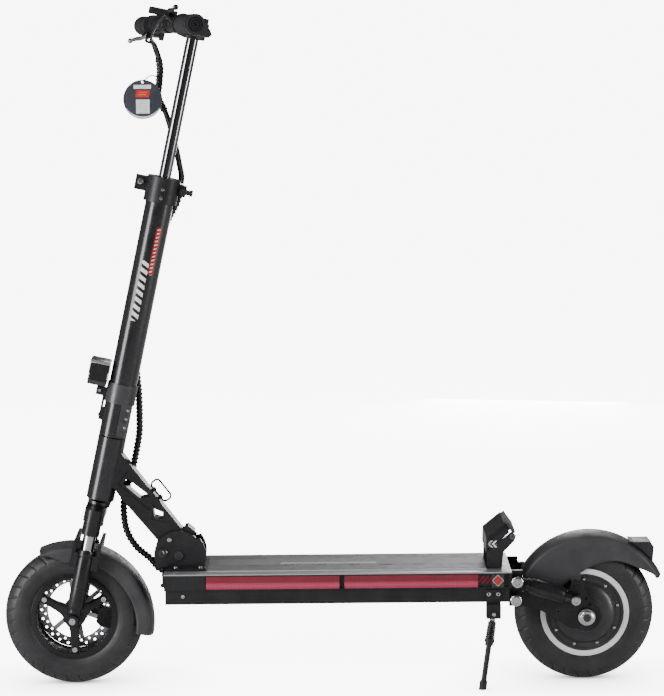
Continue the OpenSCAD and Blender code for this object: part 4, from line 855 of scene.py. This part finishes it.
def add_shocks():
    """Shock barrels with raised end rings, bright eye bolts at both ends, and the rear axle's nuts."""
    top = np.array(JOINTS["shock_turn"]["pos_m"]) / MM
    way = (SHOCK_EYE - top) / np.linalg.norm(SHOCK_EYE - top)
    across = np.array([way[2], 0, -way[0]])
    for side, label in SIDES:
        start = top + [0, side * SHOCK_Y, 0]
        profile = [(13, 0.01), (13, 8), (15, 10.4), (22, 10.4), (23, 8.4), (25, 8.4), (26, 10.4), (32, 10.8),
                   (33, 14.6), (36, 15.6), (84, 15.6), (87, 14.6), (88, 11.5), (91, 11.5), (91, 0.01)]
        lathe(f"{label}_shock_barrel", "shock_body", FORK_BLACK, "fork_black", start, profile, 56, axis=way,
              across=across)
        bolt_heads(f"{label}_shock_low_bolt", "swing", [on_face("swing_arm", SHOCK_EYE[0], SHOCK_EYE[2], side)],
                   (0, side, 0), 9.0, 3.2)
        face = side * (abs(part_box("pivot_bolts")[0][1]) / MM - 1.2)
        pivot = np.array(JOINTS["swing_travel"]["pos_m"]) / MM
        bolt_heads(f"{label}_deck_end_bolts", "deck", [(at[0], face, at[2]) for at in (top, pivot)], (0, side, 0),
                   10.2, 2.6)
        end = side * abs(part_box("motor_axle")[0][1]) / MM
        nut = [(-side * 12, 0.01), (-side * 12, 15.5), (-side * 9.4, 15.5), (-side * 9, 14), (-side * 9, 12.4),
               (-side * 3.4, 12.2), (-side * 2.4, 10.4), (-side * 2.4, 7.2), (-side * 0.4, 7.2), (-side * 0.4, 3.6),
               (-side * 3, 3.2), (-side * 3, 0.01)]
        lathe(f"{label}_axle_nut", "swing", BOLT_STEEL, "bolt_steel", (REAR_AXLE[0], end, REAR_AXLE[2]), nut, 48,
              sharp=25)


def add_plate_bolts():
    """Bolts on the folding hinge's side plates, on the stand's bracket and on its hinge."""
    for side, label in SIDES:
        bolt_heads(f"{label}_hinge_bolts", "deck", [on_face("hinge_block", *at, side) for at in
                   ((-296.5, 268.5), (-304.5, 246.0))], (0, side, 0), 4.6, 3.0)
    mid = CENTRE["stand_bracket"][0]
    bolt_heads("stand_bracket_bolts", "deck", [on_face("stand_bracket", mid + dx, 176.0) for dx in (-8.5, 8.5)],
               (0, -1, 0), 4.4, 2.6)
    bolt_heads("stand_hinge_bolts", "kickstand", [on_face("kickstand", x, z) for x,
                                                  z in ((289.0, 141.0), (287.5, 131.0))], (0, -1, 0), 3.8, 2.4)


def add_clamp_bolts():
    """Bolts of the height clamp's front block, screws in its band, and screws in the stem's collar."""
    for side, label in SIDES:
        bolt_heads(f"{label}_clamp_bolt", "steering", [on_stem(-STEM_R - 15, side * 14.6, STEM_TOP + 18)],
                   (0, side, 0), 5.6, 2.4)
    low, high = on_stem(2, 0, STEM_TOP - 4), on_stem(2, 0, STEM_TOP + 12)
    bolt_heads("band_screws", "steering", [on_face("height_clamp", p[0], p[2]) for p in (low, high)], (0, -1, 0),
               3.2, 1.4)
    neck = [on_stem(19, 0, s) for s in (STEM_S + 55, STEM_S + 39, STEM_S + 23)]
    bolt_heads("neck_bolts", "steering", [on_face("stem_collar", p[0], p[2]) for p in neck], (0, -1, 0), 3.0, 1.6)


add_clamp_bolts()
add_fork()
add_shocks()
add_plate_bolts()


# ---------- bars ----------
def add_bar_ends():
    """End caps of the grips: rings pressed into a shallow dome, and rows of ribs round the grips."""
    for side, label in SIDES:
        end = on_bar(0, side * (BAR_END - 0.2), 0)
        cap = [(-side * 5, 0.01), (-side * 5, 17.6), (-side * 1.5, 17.9), (0, 16.8), (side * 0.2, 14.4),
               (-side * 0.8, 13.6), (side * 0.3, 12.8), (side * 0.4, 10.0), (-side * 0.7, 9.2), (side * 0.4, 8.4),
               (side * 0.4, 5.6), (-side * 0.6, 4.8), (side * 0.3, 4.0), (side * 0.3, 0.01)]
        lathe(f"{label}_grip_cap", f"{label}_bar", GLOSS_PLASTIC, "grip_rubber", end, cap, 64, axis=BAR_Y,
              across=BAR_X)
        along = np.arange(0, 98, 0.5)
        ribs = 17.15 + 0.5 * np.clip(np.cos(along * 2 * math.pi / 5.0) * 1.5, -1, 1)
        profile = [(side * 0.0, 16.0), *[(side * a, r) for a, r in zip(along, ribs)], (side * along[-1], 16.0)]
        lathe(f"{label}_grip_sleeve", f"{label}_bar", GRIP_RUBBER, "grip_rubber",
              on_bar(0, side * (BAR_END - 124), 0), profile, 72, axis=BAR_Y, across=BAR_X)


def bar_plate(name, outline, x0, x1, bevel=0.8):
    """A plate square to the bar's fore-and-aft line, its (y, z) outline rounded at both faces."""
    outline = np.asarray(outline, float)
    middle = outline.mean(0)
    rows = [(x0, bevel), (x0 + bevel, 0), (x1 - bevel, 0), (x1, bevel)]
    grid = []
    for x, inset in rows:
        reach = outline - middle
        shrunk = middle + reach * (1 - inset / np.linalg.norm(reach, axis=1, keepdims=True))
        grid.append(on_bar(x, shrunk[:, 0], shrunk[:, 1]))
    return skin(name, "telescope", FRAME_BLACK, "frame_black", np.array(grid), sharp=30)


def add_bar_head():
    """Head of the height tube: a short collar, a cross barrel and four hinge cheeks with pivot heads."""
    collar = [(-15, 0.01), (-15, 16.9), (-15, 20.5), (-13.5, 21.8), (4, 21.8), (7, 20.5), (9, 16), (9, 0.01)]
    lathe("bar_head_collar", "telescope", FRAME_BLACK, "frame_black", on_stem(0, 0, BAR_S), collar, 64,
          axis=STEM_DIR,
          across=STEM_ACROSS, replaces=("bar_head",))
    barrel = [(-26, 0.01), (-26, 13.8), (-24.6, 15.2), (24.6, 15.2), (26, 13.8), (26, 0.01)]
    lathe("bar_head_barrel", "telescope", FRAME_BLACK, "frame_black", BAR_MID, barrel, 56, axis=BAR_Y, across=BAR_X)
    for side, label in SIDES:
        turn = np.radians(np.linspace(-90, 90, 19))
        outline = np.vstack([[[side * 20, -9.5]], np.stack([side * (42 + 9.5 * np.cos(turn)), 9.5 * np.sin(turn)],
                                                           1), [[side * 20, 9.5]]])
        bar_plate(f"{label}_bar_cheek_front", outline, -14, -8.2)
        bar_plate(f"{label}_bar_cheek_rear", outline, 8.2, 14)
        bolt_heads(f"{label}_bar_pivot", "telescope", [on_bar(14, side * 42, 0)], BAR_X, 5.2, 2.4)


def add_upper_cables():
    """Two brake cables and a display cable gathered into a wrapped bundle down to the clamp, and the tag's cord."""
    run = [(-66, 14, BAR_S - 40), (-55, 14, BAR_S - 58), (-47, 15, BAR_S - 80), (-43.5, 16, BAR_S - 106),
           (-40, 16, BAR_S - 130), (-22, 18, BAR_S - 155), (-6, 20, BAR_S - 184), (9, 21, BAR_S - 214),
           (20, 21, BAR_S - 240), (28, 21, CLAMP_TOP + 8), (30, 21, CLAMP_TOP - 7)]
    starts = {"right_brake": [(-14.9, 121.4, -21.3), (-18, 98, -28), (-24, 58, -34)],
              "left_brake": [(-21.6, -121.4, 14.5), (-27, -100, 8), (-30, -62, -8), (-28, -22, -28)],
              "display": [(-10.8, 84, -14.3), (-16, 60, -26), (-20, 34, -34)]}
    bodies = ("right_bar", "left_bar", "right_bar")
    for k, ((name, start), shift, body) in enumerate(zip(starts.items(), ((0, 0), (3.2, 3.2), (-3.2, 3.4)),
                                                         bodies)):
        bundle = [on_stem(u + shift[0], y + shift[1], at) for u, y, at in run]
        points = [on_bar(*p) for p in start] + bundle[:2]
        lead = tube(f"{name}_lead", None, CABLE_BLACK, "cable_black", spline(points, 12), CABLE_R, 12,
                    **({"replaces": ("upper_cables",)} if k == 0 else {}))
        tuple(points[1] * MM)
        tuple(points[-2] * MM)
        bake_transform(lead)
        down = tube(f"{name}_cable", None, CABLE_BLACK, "cable_black", spline(bundle, 12), CABLE_R, 12)
        tuple(bundle[4] * MM)
        tuple(bundle[-2] * MM)
        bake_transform(down)
    path = spline([on_stem(u, y + 2.0, at) for u, y, at in run[1:6]], 60)
    even = np.cumsum(np.r_[0, np.linalg.norm(np.diff(path, axis=0), axis=1)])
    turn = np.arange(20) * 2 * math.pi / 20
    fold = 5.9 + 0.55 * np.sin(even[:, None] * 0.9 + 2.0 * np.sin(turn)[None, :]) + 0.5 * np.cos(2 * turn)[None, :]
    fade = np.minimum(smooth_step(even, 0, 6), smooth_step(even[-1] - even, 0, 6))[:, None]
    tube("cable_wrap", "telescope", GLOSS_PLASTIC, "cable_black", path, 3.0 + (fold - 3.0) * fade, 20)
    tx, ty, tz = CENTRE["hang_tag"]
    cord = [(tx + 28.5, 13.2, tz + 36), (tx + 16, 6, tz + 42), (tx + 5, -4, tz + 36), (tx, ty + 2.3, tz + 31),
            (tx, ty - 3.4, tz + 31)]
    tube("tag_cord", "telescope", CABLE_BLACK, "cable_black", spline(cord, 10), 1.0, 8)


def add_headlight():
    """Lamp housing: a ribbed black box, a bright lid over it and a satin band below, all drawn as side plates."""
    def plate(across_along):
        return np.array([on_stem(-STEM_R + u, 0, STEM_S + a)[[0, 2]] for u, a in across_along])

    body = plate([(-38, 92), (-39.6, 97), (-37.5, 100), (-39.6, 103), (-37.5, 106), (-39.6, 109), (-39.6, 126),
                  (-37, 129.4), (-6, 129.4), (-4, 127), (-3.6, 112), (-5.6, 110), (-3.6, 108), (-5.6, 106),
                  (-3.6, 104), (-5.6, 102), (-3.6, 100), (-4.5, 92)])
    slab("headlight_box", "headlight", GLOSS_PLASTIC, "gloss_black_plastic", body, -23, 23, 1.6,
         replaces=("headlight",))
    lid = plate([(-39.8, 127.6), (-39.8, 132.4), (-37.5, 133.8), (-6, 133.8), (-3.4, 132.6), (-3.4, 127.6)])
    slab("headlight_lid", "headlight", BOLT_STEEL, "bolt_steel", lid, -25.6, 25.6, 1.2)
    band = plate([(-37.5, 88.4), (-38.6, 89.4), (-38.6, 95.6), (-37.6, 96.6), (-6, 96.6), (-4.6, 95.6),
                  (-4.6, 89.4), (-5.6, 88.4)])
    slab("headlight_band", "headlight", COLLAR_GREY, "collar_grey", band, -24.2, 24.2, 1.0)
    foot = plate([(-20, 89), (-8, 89), (-8, 78), (-11, 73.5), (-17, 73.5), (-20, 78)])
    slab("headlight_foot", "headlight", FRAME_BLACK, "frame_black", foot, -4, 4, 0.8)
    hinge = on_stem(-STEM_R - 14, 0, STEM_S + 78)
    lathe("headlight_pin", "headlight", BOLT_STEEL, "bolt_steel", hinge,
          [(-9.5, 0.01), (-9.5, 2.8), (-9, 3.2), (9, 3.2), (9.5, 2.8), (9.5, 0.01)], 24)


add_headlight()
add_bar_ends()
add_bar_head()
add_upper_cables()


# ---------- floor and light ----------
LOW_GLOW = 0.95
SIDE_GLOW = 5.0
TOP_GLOW = 1.5
BACKDROP = 8.0
FLOOR_FAR = 220.0
LAMPS = (("key", (-2.4, -3.4, 3.2), (1.4, 1.4), 60), ("back", (1.0, 3.2, 3.2), (2.2, 2.2), 60),
         ("left strip", (-3.0, -1.9, 0.9), (1.1, 2.2), 120), ("right strip", (3.2, -1.6, 0.9), (0.5, 2.2), 65),
         ("rear strip", (0.6, 3.4, 0.9), (0.6, 2.0), 35))
LAMP_AIM = Vector((0, 0, 0.6))


def add_studio():
    """White floor that runs far back, soft white light from above and the sides, and soft lamps.

    The sky's light grows with the sideways part of a ray's direction to the fourth power and with its
    upward part. What the camera itself sees of sky and floor is brighter, a white backdrop that glows; on
    the floor that glow is dimmed by ambient occlusion near the parts, a painted contact shadow.
    """
    mesh = bpy.data.meshes.new("studio_floor")
    mesh.from_pydata([(x * FLOOR_FAR, y * FLOOR_FAR, 0) for x, y in ((-1, -1), (1, -1), (1, 1), (-1, 1))], [],
                     [(0, 1, 2, 3)])
    floor = bpy.data.objects.new("studio_floor", mesh)
    bpy.context.collection.objects.link(floor)
    s = Shader("studio floor")
    plain = s.node("ShaderNodeBsdfDiffuse", inputs={"Color": (0.85, 0.85, 0.85, 1)})
    seen = s.node("ShaderNodeLightPath", output="Is Camera Ray")
    # painted contact shadow: ambient occlusion dims the floor's glow where the parts are near
    painted_shadow_occlusion = s.node("ShaderNodeAmbientOcclusion", {"samples": 8}, {"Distance": 0.16}, output=1)
    bright = s.node("ShaderNodeEmission", inputs={"Strength": seen * BACKDROP * painted_shadow_occlusion.power(1.3)})
    both = s.node("ShaderNodeAddShader", inputs={0: plain, 1: bright})
    s.tree.links.new(both.socket, s.tree.nodes["Material Output"].inputs["Surface"])
    mesh.materials.append(s.material)
    world = bpy.data.worlds.new("studio sky")
    bpy.context.scene.world = world
    world.use_nodes = True
    sky = Nodes(world.node_tree)
    x, y, z = [sky.node("ShaderNodeSeparateXYZ", inputs={0: sky.node("ShaderNodeTexCoord", output="Generated")},
                        output=i) for i in range(3)]
    glow = LOW_GLOW + x * x * x * x * SIDE_GLOW + z.maths("MAXIMUM", z, 0.0) * TOP_GLOW
    seen = sky.node("ShaderNodeLightPath", output="Is Camera Ray")
    back = world.node_tree.nodes["Background"]
    sky.put(back.inputs["Strength"], glow + seen * BACKDROP)
    for name, at, size, power in LAMPS:
        light = bpy.data.lights.new(name, "AREA")
        light.shape = "RECTANGLE"
        light.size, light.size_y = size
        light.energy = power
        lamp = bpy.data.objects.new(name, light)
        lamp.location = at
        lamp.rotation_euler = (LAMP_AIM - Vector(at)).to_track_quat("-Z", "Y").to_euler()
        bpy.context.collection.objects.link(lamp)


add_studio()
